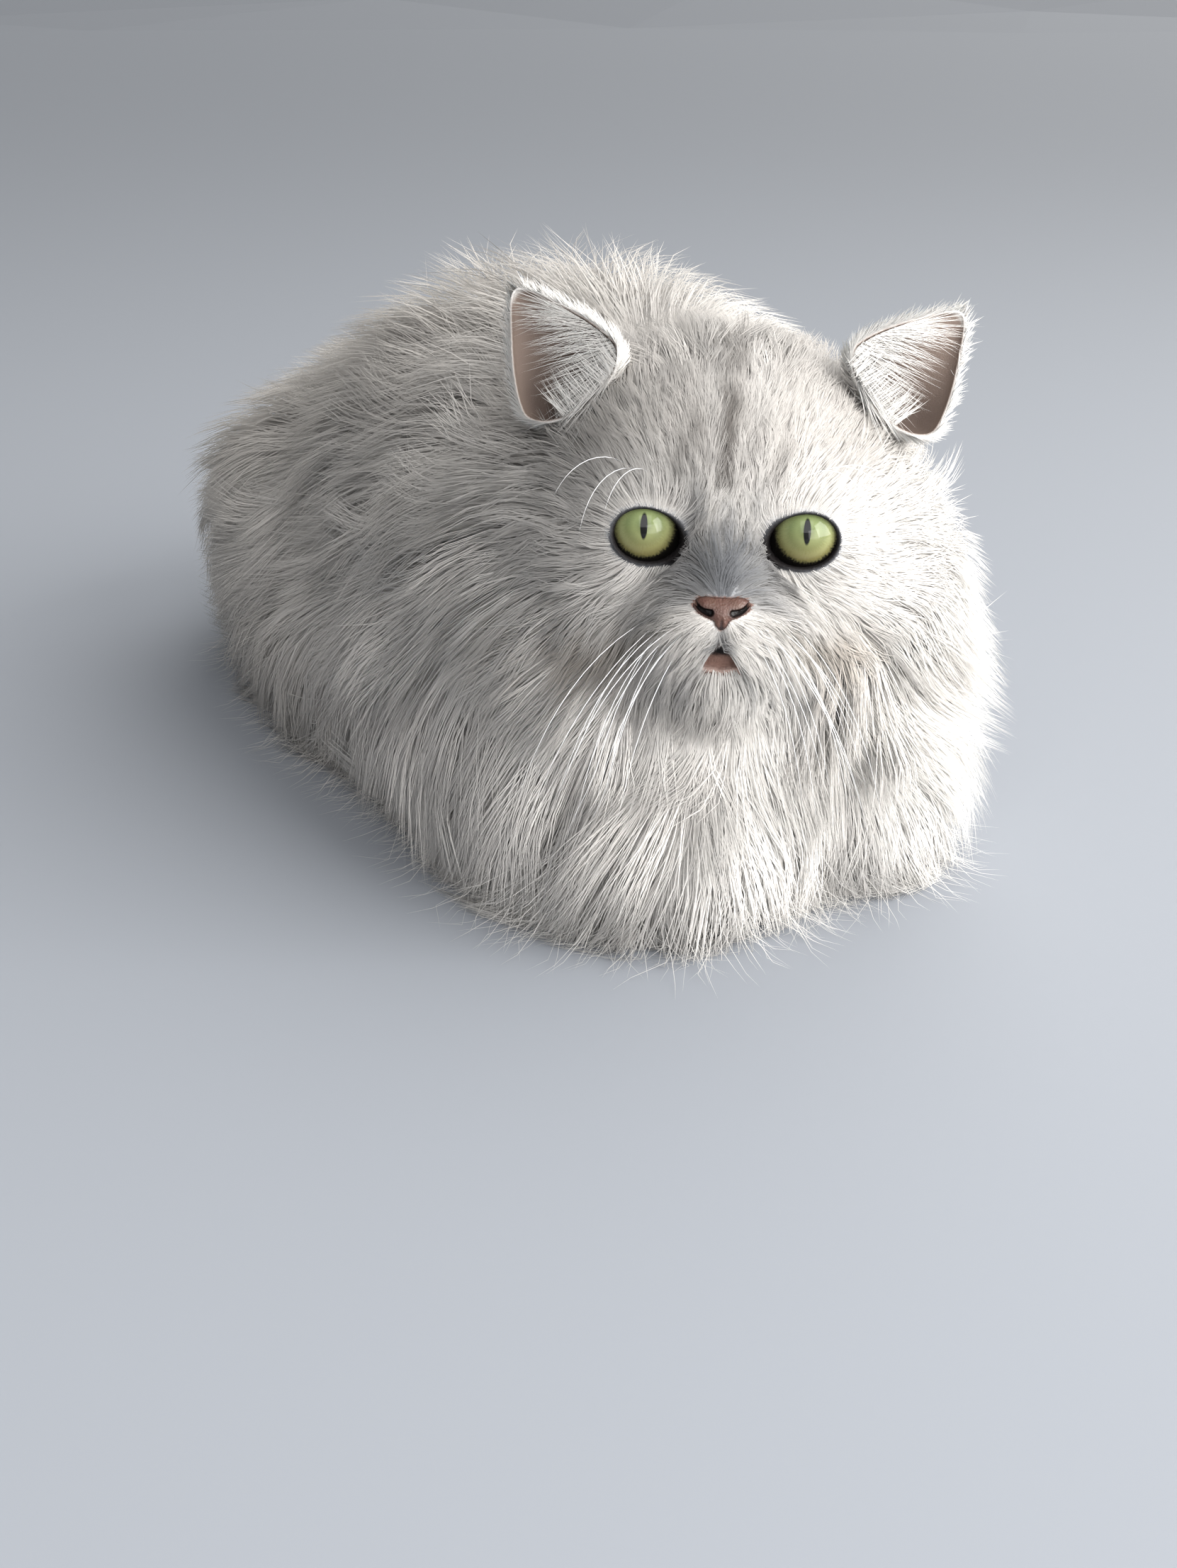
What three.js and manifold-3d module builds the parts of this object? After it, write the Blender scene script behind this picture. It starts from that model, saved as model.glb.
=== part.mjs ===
// A long-haired persian cat lying in a loaf, life size, millimetres, +Z up.
// The cat faces -Y with its own left side at +X, and lies on the plane z = 0.
// Its head is turned to its right and lifted a little. The flesh is a smooth sum of
// rounded masses. The coat stands off that flesh by a depth that each mass carries.
import * as THREE from 'three';
import Module from 'manifold-3d';
import { mergeVertices } from 'three/addons/utils/BufferGeometryUtils.js';

const wasm = await Module();
wasm.setup();

const GAP = 0.3;
const TRUNK_BLEND = 9;
const HEAD_BLEND = 3;
const COAT_BLEND = 14;
const HEAD_COAT_BLEND = 7;
// Lengths and shares below this count as nothing
const NEARLY_ZERO = 1e-6;
// A ray is stepped inward by this much until it meets the surface, then halved this often
const RAY = { step: 3, halvings: 18 };
// The flesh's outward direction is read between points this far to either side
const SLOPE_REACH = 1.5;
// The face's fur is this short, and it lengthens between these two depths behind the face
const FACE_FUR = { depth: 2.5, from: -32, to: 2 };

// Where the head sits and how it is turned
const HEAD_PLACE = new THREE.Vector3(-28.7, -163.2, 113.6);
const HEAD_YAW = -36.7;
const HEAD_PITCH = -13;
const HEAD_ROLL = 0.9;

// The trunk's masses: centre, radii and the depth of coat over them
const TRUNK_MASSES = [
  { name: 'ribcage', centre: [-3, -50, 82], radii: [60, 94, 66], coat: 31 },
  { name: 'abdomen', centre: [0, 36, 64], radii: [54, 92, 54], coat: 30 },
  { name: 'belly', centre: [-6, -8, 30], radii: [66, 114, 32], coat: 38 },
  { name: 'rump', centre: [4, 108, 50], radii: [46, 66, 40], coat: 25 },
  { name: 'haunch left', centre: [38, 98, 46], radii: [30, 58, 40], coat: 23 },
  { name: 'haunch right', centre: [-35, 98, 46], radii: [28, 56, 39], coat: 20 },
  { name: 'shoulder left', centre: [30, -95, 62], radii: [32, 50, 50], coat: 28 },
  { name: 'shoulder right', centre: [-46, -95, 62], radii: [32, 50, 50], coat: 28 },
  { name: 'chest', centre: [-18, -132, 54], radii: [52, 46, 54], coat: 42 },
  { name: 'throat', centre: [-18, -125, 98], radii: [44, 40, 40], coat: 38 },
  { name: 'forearm left', centre: [12, -140, 17], radii: [18, 42, 17], coat: 29 },
  { name: 'forearm right', centre: [-57, -140, 17], radii: [20, 44, 17], coat: 35 },
];

// The head's masses, in the head's own frame: x to its left, y to its back, z up
const HEAD_MASSES = [
  { name: 'cranium', centre: [0, 8, 13], radii: [43, 42, 33], coat: 15 },
  { name: 'cheek left', centre: [25, 0, -12], radii: [23, 28, 24], coat: 41 },
  { name: 'cheek right', centre: [-25, 0, -12], radii: [23, 28, 24], coat: 36 },
  { name: 'brow', centre: [0, -13, 15], radii: [34, 21, 23], coat: 7 },
  { name: 'socket left', centre: [22, -20, -1], radii: [14, 13, 13], coat: 2.5 },
  { name: 'socket right', centre: [-22, -20, -1], radii: [14, 13, 13], coat: 2.5 },
  { name: 'nose bridge', centre: [0, -28, -12], radii: [8, 9, 13], coat: 2 },
  { name: 'muzzle', centre: [0, -26, -27], radii: [18, 13, 12], coat: 3.5 },
  { name: 'lip pad left', centre: [8, -31, -30], radii: [9, 8, 7], coat: 2 },
  { name: 'lip pad right', centre: [-8, -31, -30], radii: [9, 8, 7], coat: 2 },
  { name: 'nose tip', centre: [0, -33.5, -22], radii: [6.5, 5, 5], coat: 0.5 },
  { name: 'chin', centre: [0, -27, -38], radii: [10, 9, 7], coat: 4 },
  { name: 'jaw', centre: [0, -5, -29], radii: [32, 28, 18], coat: 15 },
];

// The ball that each core is drawn from: where its rays start, and its fineness
const TRUNK_SPINE = { x: -4, y: -14, z: 62, reach: 108, detail: 5, far: 190 };
const HEAD_HEART = { centre: [0, -16, -6], detail: 7, far: 120 };

// The core reaches to this share of the coat's depth, and the locks go on to the tips.
// Fur shorter than the bare depth is core alone.
const CORE_SHARE = 0.45;
const BARE_DEPTH = 4;
const LOCK_DEPTH = 9;
// No lock grows where the flesh faces the floor this much, below this height
const UNDERSIDE = -0.6;
const BELLY_HEIGHT = 45;

// The locks: how many directions are tried, and the sizes of one lock
const TRUNK_LOCKS = { count: 106, length: 68, width: 32, thick: 7, sunk: 8, tip: 1.06, seed: 11 };
const HEM_LOCKS = { count: 24, length: 54, width: 32, thick: 6, sunk: 8, tip: 1.12, seed: 7, dip: -0.62 };
const HEAD_LOCKS = { count: 78, length: 40, width: 20, thick: 4.5, sunk: 6, tip: 1.14, seed: 23 };
const TAIL_LOCKS = { stations: 6, around: 3, length: 62, width: 27, thick: 6, tip: 1.02, sunk: 2, seed: 37 };
// The stretch of the tail that bears locks, and the arc over its back where they stand
const TAIL_COAT = { from: 0.06, length: 0.8, arcFrom: -0.12, arc: 1.24 };
const LOCK_RINGS = 3;
const LOCK_VARIATION = 0.16;
// One lock along its length: how soon it rises, its width at the root and how that swells
// and closes, and how much thinner it gets. A lock whose root lies this deep isn't grown.
const LOCK_SHAPE = { rise: 0.85, passes: 3, root: 0.75, swell: 0.6, close: 1.35, thinner: 0.65, buried: 1.4 };
const LIE = { fall: 0.55, sway: 0.22, floor: 2.6 };
// Tufts stand up over the withers, where the lifted head pushes the ruff back
const WITHERS = { centre: [-6, -52, 165], spread: 42, lift: 18 };

// Eyes, nose, mouth and ears, in the head's own frame
const EYE = { x: 22.6, y: -25.2, z: -1, radius: 11, detail: 3 };
const EYELID = { wall: 1.7, width: 19.6, height: 15.6, inset: 0.6, drop: -1.6, slant: 8, detail: 3 };
const NOSE = { y: -38, z: -23, width: 16, height: 9, bridge: 5.2, wing: 3.6, depth: 8, root: -33, detail: 2 };
// The nose seen from the front: how its top bows and its corners round off
const NOSE_LINE = { bow: 0.4, shoulder: 0.8, corner: 1.4, waist: 0.1, point: 0.7 };
// The ball that rounds the nose off in front, as shares of its width and height
const NOSE_BALL = { wide: 0.62, high: 0.8 };
const NOSTRIL = { x: 4.9, z: -22.9, width: 2.5, height: 1.25, depth: 4, slant: 28, set: 0.8, detail: 2 };
const MOUTH = {
  top: -32, drop: 8.5, half: 12.5, groove: 0.8, oval: 1.4, shares: [0, 0.3, 0.65, 1],
  openHalf: 7, openDrop: 7, lip: 1.8, deep: 3,
};
// Rays that find the face's surface start at this depth and reach this far forward
const FACE_RAY = { from: -10, far: 60 };
// The gape seen from the front: its peak, and where its upper and lower edges bend
const GAPE = { peak: 0.5, upper: 0.35, fall: 0.7, lower: 0.5 };
// Blades that cut the eyes' openings, the nose and the gape are this long
const BLADE = { eye: 40, nose: 30, gape: 20 };
const EAR = {
  x: 47, y: -6, z: 41, lean: 36.5, turn: 14, tilt: -6,
  width: 17.5, depth: 10, height: 28.5, root: 10, wall: 1.4, taper: 0.34, curve: 1.5, cup: 4.5, detail: 3,
};

// The tail lies on the floor along the left side, from the rump forward
const TAIL = {
  turn: { x: 56, y: 146, radius: 58, from: 160, to: 10, points: 5, high: 46, low: 29 },
  forward: [[119, 100, 28], [120, 50, 28], [113, 8, 27], [102, -24, 26]],
  radius: 30, rootRadius: 22, rootShare: 0.25, flesh: 9, tipRadius: 5, tipShare: 0.22,
  sides: 9, steps: 14, split: 0.5,
};
const ROUTE_PARTS = 200;

// The cells that part the whole cat into its nodes
const HEAD_CELL = { centre: [0, -6, 2], radii: [92, 80, 66], back: 26, neckRadius: 50, slope: 0.9, rim: 130 };
const NECK_CELL = {
  base: [-8, -106, 98], axis: [-0.25, -0.8, 0.54], core: 48, slope: 0.7, rim: 170, reach: 190,
};
const FORELEG_CELL = { x: 40, middle: -22, y: -126, z: 6, radii: [37, 62, 36] };
const HAUNCH_CELL = { x: 74, y: 104, z: 44, radii: [44, 82, 70] };
const TAIL_CELL = { spare: 2.5, sides: 10, from: 0.03, to: 0.985 };
// A cone's slanting side moves by this much more than the margin, to keep the gap across it
const CONE_GAP = 1.3;
// The tail's faceted side moves by this much more, where its bends would close the gap
const TUBE_GAP = 1.5;
const CELL_DETAIL = 3;
const CELL_SIDES = 16;

/** The transform from the head's own frame to the cat's. */
function headMatrix() {
  const turn = new THREE.Matrix4().makeRotationZ(THREE.MathUtils.degToRad(HEAD_YAW));
  turn.multiply(new THREE.Matrix4().makeRotationX(THREE.MathUtils.degToRad(HEAD_PITCH)));
  turn.multiply(new THREE.Matrix4().makeRotationY(THREE.MathUtils.degToRad(HEAD_ROLL)));
  return turn.setPosition(HEAD_PLACE);
}

const TO_CAT = headMatrix();
const TO_HEAD = TO_CAT.clone().invert();
const WITHERS_PLACE = new THREE.Vector3(...WITHERS.centre);

/** Distance from a point to an ellipsoid's surface, negative inside it. */
function massDistance(point, mass) {
  const [cx, cy, cz] = mass.centre;
  const [rx, ry, rz] = mass.radii;
  const x = point.x - cx;
  const y = point.y - cy;
  const z = point.z - cz;
  const near = Math.hypot(x / rx, y / ry, z / rz);
  const steep = Math.hypot(x / (rx * rx), y / (ry * ry), z / (rz * rz));
  if (steep < NEARLY_ZERO) {
    return -Math.min(rx, ry, rz);
  }
  return (near * (near - 1)) / steep;
}

/** The blended distance to a list of masses and the coat's depth there. */
function fleshAt(point, masses, blend, coatBlend) {
  const distances = masses.map((mass) => massDistance(point, mass));
  const nearest = Math.min(...distances);
  let sum = 0;
  let weights = 0;
  let coat = 0;
  distances.forEach((distance, index) => {
    sum += Math.exp((nearest - distance) / blend);
    const weight = Math.exp((nearest - distance) / coatBlend);
    weights += weight;
    coat += weight * masses[index].coat;
  });
  return { distance: nearest - blend * Math.log(sum), coat: coat / weights };
}

/** The trunk's flesh and coat at a point. */
function trunkFlesh(point) {
  return fleshAt(point, TRUNK_MASSES, TRUNK_BLEND, COAT_BLEND);
}

/** The head's flesh and coat at a point of its own frame. */
function headFlesh(point) {
  const flesh = fleshAt(point, HEAD_MASSES, HEAD_BLEND, HEAD_COAT_BLEND);
  const ramp = THREE.MathUtils.smoothstep(point.y, FACE_FUR.from, FACE_FUR.to);
  const coat = THREE.MathUtils.lerp(FACE_FUR.depth, flesh.coat, ramp);
  return { distance: flesh.distance, coat: Math.min(coat, flesh.coat + FACE_FUR.depth) };
}

/** How far the core stands off the flesh under a coat of some depth. */
function coreDepth(coat) {
  return Math.max(Math.min(coat, BARE_DEPTH), CORE_SHARE * coat);
}

/** Distance to the core of a coat, from the flesh's distance and the coat's depth. */
function coreLevel(flesh) {
  return (point) => {
    const { distance, coat } = flesh(point);
    return distance - coreDepth(coat);
  };
}

/** The trunk's and the head's flesh and coat together, at a point of the cat's frame. */
function wholeFlesh(point) {
  const trunk = trunkFlesh(point);
  const head = headFlesh(point.clone().applyMatrix4(TO_HEAD));
  const share = 1 / (1 + Math.exp((head.distance - trunk.distance) / COAT_BLEND));
  const nearest = Math.min(trunk.distance, head.distance);
  const other = Math.max(trunk.distance, head.distance);
  return {
    distance: nearest - TRUNK_BLEND * Math.log(1 + Math.exp((nearest - other) / TRUNK_BLEND)),
    coat: THREE.MathUtils.lerp(trunk.coat, head.coat, share),
  };
}

/** The point where a ray leaves a level surface, found from outside. */
function surfacePoint(start, direction, level, far) {
  const point = new THREE.Vector3();
  let outer = far;
  while (outer > 0 && level(point.copy(start).addScaledVector(direction, outer - RAY.step)) > 0) {
    outer -= RAY.step;
  }
  let inner = outer - RAY.step;
  for (let round = 0; round < RAY.halvings; round += 1) {
    const middle = (inner + outer) / 2;
    if (level(point.copy(start).addScaledVector(direction, middle)) > 0) {
      outer = middle;
    } else {
      inner = middle;
    }
  }
  return point.copy(start).addScaledVector(direction, inner);
}

/** A ball whose points are drawn out along rays to a level surface. */
function drawnBall(detail, startOf, level, far) {
  const geometry = new THREE.IcosahedronGeometry(1, detail);
  const places = geometry.attributes.position;
  const direction = new THREE.Vector3();
  for (let index = 0; index < places.count; index += 1) {
    direction.fromBufferAttribute(places, index).normalize();
    const end = surfacePoint(startOf(direction), direction, level, far);
    places.setXYZ(index, end.x, end.y, end.z);
  }
  return geometry;
}

/** A closed solid from a three.js geometry. */
function solid(geometry, matrix) {
  const bare = geometry.clone();
  bare.deleteAttribute('normal');
  bare.deleteAttribute('uv');
  if (matrix) {
    bare.applyMatrix4(matrix);
  }
  const merged = mergeVertices(bare, 1e-3);
  return new wasm.Manifold(new wasm.Mesh({
    numProp: 3,
    vertProperties: new Float32Array(merged.attributes.position.array),
    triVerts: new Uint32Array(merged.index.array),
  }));
}

/** The largest closed body of a solid, without its loose scraps. */
function largest(whole) {
  const pieces = whole.decompose();
  return pieces.reduce((best, piece) => (piece.volume() > best.volume() ? piece : best));
}

/** The named mesh of a finished solid. */
function asMesh(name, body, look) {
  const data = largest(body).getMesh();
  const geometry = new THREE.BufferGeometry();
  geometry.setAttribute('position', new THREE.BufferAttribute(new Float32Array(data.vertProperties), 3));
  geometry.setIndex(new THREE.BufferAttribute(new Uint32Array(data.triVerts), 1));
  geometry.computeVertexNormals();
  const mesh = new THREE.Mesh(geometry, look);
  mesh.name = name;
  return mesh;
}

/** A matrix that places, turns and stretches a shape. */
function placed([x, y, z], [ax, ay, az] = [0, 0, 0], [sx, sy, sz] = [1, 1, 1]) {
  const turn = new THREE.Euler(...[ax, ay, az].map(THREE.MathUtils.degToRad), 'ZYX');
  return new THREE.Matrix4().compose(
    new THREE.Vector3(x, y, z),
    new THREE.Quaternion().setFromEuler(turn),
    new THREE.Vector3(sx, sy, sz),
  );
}

/** An ellipsoid, optionally in the head's own frame. */
function ellipsoid(centre, radii, detail, frame = null, turn = [0, 0, 0]) {
  const matrix = placed(centre, turn, radii);
  return solid(new THREE.IcosahedronGeometry(1, detail), frame ? matrix.premultiply(frame) : matrix);
}

/** The trunk, chest and upper legs with their coat, drawn out from the spine. */
function trunkCore() {
  const { x, y, z, reach, detail, far } = TRUNK_SPINE;
  const startOf = (direction) => new THREE.Vector3(x, y + reach * direction.y, z);
  return solid(drawnBall(detail, startOf, coreLevel(trunkFlesh), far));
}

/** The head with its coat, drawn out from a point close behind the face. */
function headCore() {
  const heart = new THREE.Vector3(...HEAD_HEART.centre);
  return solid(drawnBall(HEAD_HEART.detail, () => heart, coreLevel(headFlesh), HEAD_HEART.far), TO_CAT);
}

/** The tail's middle line: a bend round the rump, then a run forward along the flank. */
function tailRoute() {
  const { x, y, radius, from, to, points, high, low } = TAIL.turn;
  const bend = Array.from({ length: points }, (_, index) => {
    const share = index / (points - 1);
    const angle = THREE.MathUtils.degToRad(THREE.MathUtils.lerp(from, to, share));
    const height = THREE.MathUtils.lerp(high, low, Math.sqrt(share));
    return new THREE.Vector3(x + radius * Math.cos(angle), y + radius * Math.sin(angle), height);
  });
  const run = TAIL.forward.map((point) => new THREE.Vector3(...point));
  return new THREE.CatmullRomCurve3([...bend, ...run]);
}

/** A closed tube along the tail's route with flat ends, its radius given along the way. */
function tailTube(radiusAt, sides, steps, from, to, beyond = 0) {
  const route = tailRoute();
  const geometry = new THREE.SphereGeometry(1, sides, steps);
  const places = geometry.attributes.position;
  const frames = route.computeFrenetFrames(ROUTE_PARTS, false);
  for (let index = 0; index < places.count; index += 1) {
    const unit = new THREE.Vector3().fromBufferAttribute(places, index);
    const turn = Math.acos(THREE.MathUtils.clamp(unit.y, -1, 1)) / Math.PI;
    const share = THREE.MathUtils.clamp((turn * steps - 1) / (steps - 2), 0, 1);
    const along = from + (to - from) * share;
    const ring = Math.round(along * ROUTE_PARTS);
    const girth = Math.hypot(unit.x, unit.z) < NEARLY_ZERO ? 0 : radiusAt(along);
    const angle = Math.atan2(unit.z, unit.x);
    const point = route.getPointAt(along);
    if (share === 0 || share === 1) {
      point.addScaledVector(frames.tangents[ring], share === 0 ? -beyond : beyond);
    }
    point.addScaledVector(frames.normals[ring], girth * Math.cos(angle));
    point.addScaledVector(frames.binormals[ring], girth * Math.sin(angle));
    places.setXYZ(index, point.x, point.y, point.z);
  }
  const tube = solid(geometry);
  return tube.volume() > 0 ? tube : solid(flipped(geometry));
}

/** A geometry with its faces turned to the other side. */
function flipped(geometry) {
  const turned = geometry.clone();
  const order = turned.index.array;
  for (let index = 0; index < order.length; index += 3) {
    [order[index], order[index + 1]] = [order[index + 1], order[index]];
  }
  return turned;
}

/** The tail's radius out to the tips of its coat, full in the middle and rounded at the tip. */
function tailRadius(along) {
  const full = THREE.MathUtils.lerp(TAIL.rootRadius, TAIL.radius, Math.min(1, along / TAIL.rootShare));
  const toTip = THREE.MathUtils.clamp((1 - along) / TAIL.tipShare, 0, 1);
  return full * Math.sqrt(1 - (1 - toTip) ** 2) + TAIL.tipRadius * (1 - toTip);
}

/** The tail's core under its locks. */
function tailCore() {
  const girth = (along) => TAIL.flesh + CORE_SHARE * Math.max(0, tailRadius(along) - TAIL.flesh);
  return tailTube(girth, TAIL.sides, TAIL.steps, 0, TAIL_CELL.to);
}

/** A repeatable source of random numbers between 0 and 1. */
function seeded(seed) {
  let state = seed;
  return () => {
    state = (state + 0x6d2b79f5) | 0;
    let mixed = Math.imul(state ^ (state >>> 15), 1 | state);
    mixed = (mixed + Math.imul(mixed ^ (mixed >>> 7), 61 | mixed)) ^ mixed;
    return ((mixed ^ (mixed >>> 14)) >>> 0) / 4294967296;
  };
}

/** Directions spread evenly over a ball by the golden angle. */
function evenDirections(count) {
  const turn = Math.PI * (3 - Math.sqrt(5));
  return Array.from({ length: count }, (_, index) => {
    const height = 1 - (2 * index + 1) / count;
    const girth = Math.sqrt(1 - height * height);
    return new THREE.Vector3(girth * Math.cos(index * turn), height, girth * Math.sin(index * turn));
  });
}

/** Directions round the foot of the coat, all dipping alike. */
function hemDirections(count, dip) {
  return Array.from({ length: count }, (_, index) => {
    const turn = (2 * Math.PI * index) / count;
    return new THREE.Vector3(Math.cos(turn), Math.sin(turn), dip).normalize();
  });
}

/** The outward direction of the flesh at a point. */
function outward(point, flesh) {
  const slope = ['x', 'y', 'z'].map((axis) => {
    const ahead = point.clone();
    const behind = point.clone();
    ahead[axis] += SLOPE_REACH;
    behind[axis] -= SLOPE_REACH;
    return flesh(ahead).distance - flesh(behind).distance;
  });
  return new THREE.Vector3(...slope).normalize();
}

const NOSE_TIP = new THREE.Vector3(0, NOSE.y - NOSE.depth, NOSE.z).applyMatrix4(TO_CAT);

/** The way the coat lies: away from the nose, and falling where it can. */
function coatLie(point) {
  const away = point.clone().sub(NOSE_TIP).normalize();
  away.z -= LIE.fall;
  return away;
}

/** The points of one lock's middle line, from its sunk root out to the tips of the coat. */
function lockLine(root, size, random) {
  const length = size.length * (1 + LOCK_VARIATION * (2 * random() - 1));
  const sway = LIE.sway * (2 * random() - 1);
  const lift = WITHERS.lift * Math.exp(-root.distanceToSquared(WITHERS_PLACE) / (2 * WITHERS.spread ** 2));
  const points = [];
  const point = root.clone();
  for (let ring = 0; ring <= LOCK_RINGS; ring += 1) {
    const share = ring / LOCK_RINGS;
    const normal = outward(point, wholeFlesh);
    const lie = coatLie(point).projectOnPlane(normal).normalize();
    lie.applyAxisAngle(normal, sway * (1 + share));
    if (ring > 0) {
      point.addScaledVector(lie, length / LOCK_RINGS);
    }
    for (let pass = 0; pass < LOCK_SHAPE.passes; pass += 1) {
      const { distance, coat } = wholeFlesh(point);
      const foot = coreDepth(coat) - size.sunk;
      const height = THREE.MathUtils.lerp(foot, coat * size.tip + lift, share ** LOCK_SHAPE.rise);
      point.addScaledVector(outward(point, wholeFlesh), height - distance);
      point.z = Math.max(point.z, LIE.floor);
    }
    points.push({ place: point.clone(), normal: outward(point, wholeFlesh) });
  }
  return points;
}

/** One flat tapered lock along a line of points, closed at its root and its tip. */
function lockForm(points, size) {
  const geometry = new THREE.ConeGeometry(1, 1, 4, LOCK_RINGS);
  const places = geometry.attributes.position;
  for (let index = 0; index < places.count; index += 1) {
    const share = places.getY(index) + 0.5;
    const ring = Math.round(share * LOCK_RINGS);
    const { place, normal } = points[ring];
    const before = points[Math.max(0, ring - 1)].place;
    const after = points[Math.min(LOCK_RINGS, ring + 1)].place;
    const along = after.clone().sub(before).normalize();
    const across = new THREE.Vector3().crossVectors(along, normal).normalize();
    const up = new THREE.Vector3().crossVectors(across, along);
    const cone = Math.max(NEARLY_ZERO, 1 - share);
    const { root, swell, close, thinner } = LOCK_SHAPE;
    const atTip = ring === LOCK_RINGS;
    const width = atTip ? 0 : (size.width / 2) * (root + swell * share - close * share * share);
    const thick = atTip ? 0 : (size.thick / 2) * (1 - thinner * share);
    const point = place.clone();
    point.addScaledVector(across, (places.getX(index) / cone) * width);
    point.addScaledVector(up, (places.getZ(index) / cone) * thick);
    places.setXYZ(index, point.x, point.y, point.z);
  }
  const form = solid(geometry);
  return form.volume() > 0 ? form : solid(flipped(geometry));
}

/** The locks along a set of directions, wherever the core shows and bears long fur. */
function ballLocks(size, directions, startOf, flesh, far, frame) {
  const random = seeded(size.seed);
  const locks = [];
  directions.forEach((direction) => {
    const root = surfacePoint(startOf(direction), direction, coreLevel(flesh), far);
    const depth = flesh(root).coat;
    root.applyMatrix4(frame);
    const whole = wholeFlesh(root);
    const buried = whole.distance < coreDepth(whole.coat) - size.sunk * LOCK_SHAPE.buried;
    const under = outward(root, wholeFlesh).z < UNDERSIDE && root.z < BELLY_HEIGHT;
    if (buried || under || root.z < size.thick || depth < LOCK_DEPTH) {
      return;
    }
    locks.push(lockForm(lockLine(root, size, random), size));
  });
  return locks;
}

/** The locks of the trunk, ruff and chest. */
function trunkLocks() {
  const { x, y, z, reach, far } = TRUNK_SPINE;
  const startOf = (direction) => new THREE.Vector3(x, y + reach * direction.y, z);
  const frame = new THREE.Matrix4();
  const even = evenDirections(TRUNK_LOCKS.count);
  const hem = hemDirections(HEM_LOCKS.count, HEM_LOCKS.dip);
  return [
    ...ballLocks(TRUNK_LOCKS, even, startOf, trunkFlesh, far, frame),
    ...ballLocks(HEM_LOCKS, hem, startOf, trunkFlesh, far, frame),
  ];
}

/** The locks of the cheeks, jaw, crown and back of the head. */
function headLocks() {
  const heart = new THREE.Vector3(...HEAD_HEART.centre);
  const directions = evenDirections(HEAD_LOCKS.count);
  return ballLocks(HEAD_LOCKS, directions, () => heart, headFlesh, HEAD_HEART.far, TO_CAT);
}

/** The locks round the tail, lying along it towards its tip. */
function tailLocks() {
  const random = seeded(TAIL_LOCKS.seed);
  const route = tailRoute();
  const total = route.getLength();
  const { stations, tip, sunk } = TAIL_LOCKS;
  const locks = [];
  for (let station = 0; station < stations; station += 1) {
    const start = TAIL_COAT.from + (TAIL_COAT.length * station) / stations;
    for (let around = 0; around < TAIL_LOCKS.around; around += 1) {
      const half = (station % 2) / 2;
      const turn = (around + half) / TAIL_LOCKS.around;
      const angle = Math.PI * (TAIL_COAT.arcFrom + TAIL_COAT.arc * turn);
      const length = TAIL_LOCKS.length * (1 + LOCK_VARIATION * (2 * random() - 1));
      const points = [];
      for (let ring = 0; ring <= LOCK_RINGS; ring += 1) {
        const share = ring / LOCK_RINGS;
        const along = Math.min(1, start + (share * length) / total);
        const rise = share ** LOCK_SHAPE.rise;
        const girth = THREE.MathUtils.lerp(TAIL.flesh + sunk, tailRadius(start) * tip, rise);
        const tangent = route.getTangentAt(along);
        const side = new THREE.Vector3().crossVectors(tangent, new THREE.Vector3(0, 0, 1)).normalize();
        const normal = side.multiplyScalar(Math.cos(angle)).add(new THREE.Vector3(0, 0, Math.sin(angle)));
        const place = route.getPointAt(along).addScaledVector(normal, girth);
        place.z = Math.max(place.z, LIE.floor);
        points.push({ place, normal });
      }
      locks.push(lockForm(points, TAIL_LOCKS));
    }
  }
  return locks;
}

/** The two lids of one eye, the pocket for the eyeball and the opening between the lids. */
function carveEye(head, side) {
  const centre = [side * EYE.x, EYE.y, EYE.z];
  const lidRadius = EYE.radius + EYELID.wall;
  const lids = ellipsoid(centre, [lidRadius, lidRadius, lidRadius], EYELID.detail, TO_CAT);
  const pocketRadius = EYE.radius + GAP;
  const pocket = ellipsoid(centre, [pocketRadius, pocketRadius, pocketRadius], EYE.detail, TO_CAT);
  const outline = new THREE.Shape();
  outline.absellipse(0, 0, EYELID.width / 2, EYELID.height / 2, 0, 2 * Math.PI);
  const options = { depth: BLADE.eye, bevelEnabled: false, curveSegments: 10 };
  const blade = new THREE.ExtrudeGeometry(outline, options);
  const middle = [side * (EYE.x - EYELID.inset), EYE.y, EYE.z + EYELID.drop];
  const opening = solid(blade, placed(middle, [90, side * -EYELID.slant, 0]).premultiply(TO_CAT));
  return head.add(lids).subtract(pocket).subtract(opening);
}

/** The nose's outline seen from the front, grown by a margin. */
function noseOutline(margin) {
  const half = NOSE.width / 2 + margin;
  const top = NOSE.height / 2 + margin;
  const wing = top - NOSE.wing - 2 * margin;
  const column = NOSE.bridge / 2 + margin;
  const crest = top + NOSE_LINE.bow;
  const shoulder = half * NOSE_LINE.shoulder;
  const corner = top - NOSE_LINE.corner;
  const waist = -top * NOSE_LINE.waist;
  const point = -top * NOSE_LINE.point;
  const outline = new THREE.Shape();
  outline.moveTo(0, crest);
  outline.quadraticCurveTo(shoulder, crest, half, corner);
  outline.quadraticCurveTo(half, wing, column, waist);
  outline.quadraticCurveTo(column, point, 0, -top);
  outline.quadraticCurveTo(-column, point, -column, waist);
  outline.quadraticCurveTo(-half, wing, -half, corner);
  outline.quadraticCurveTo(-shoulder, crest, 0, crest);
  return outline;
}

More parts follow.
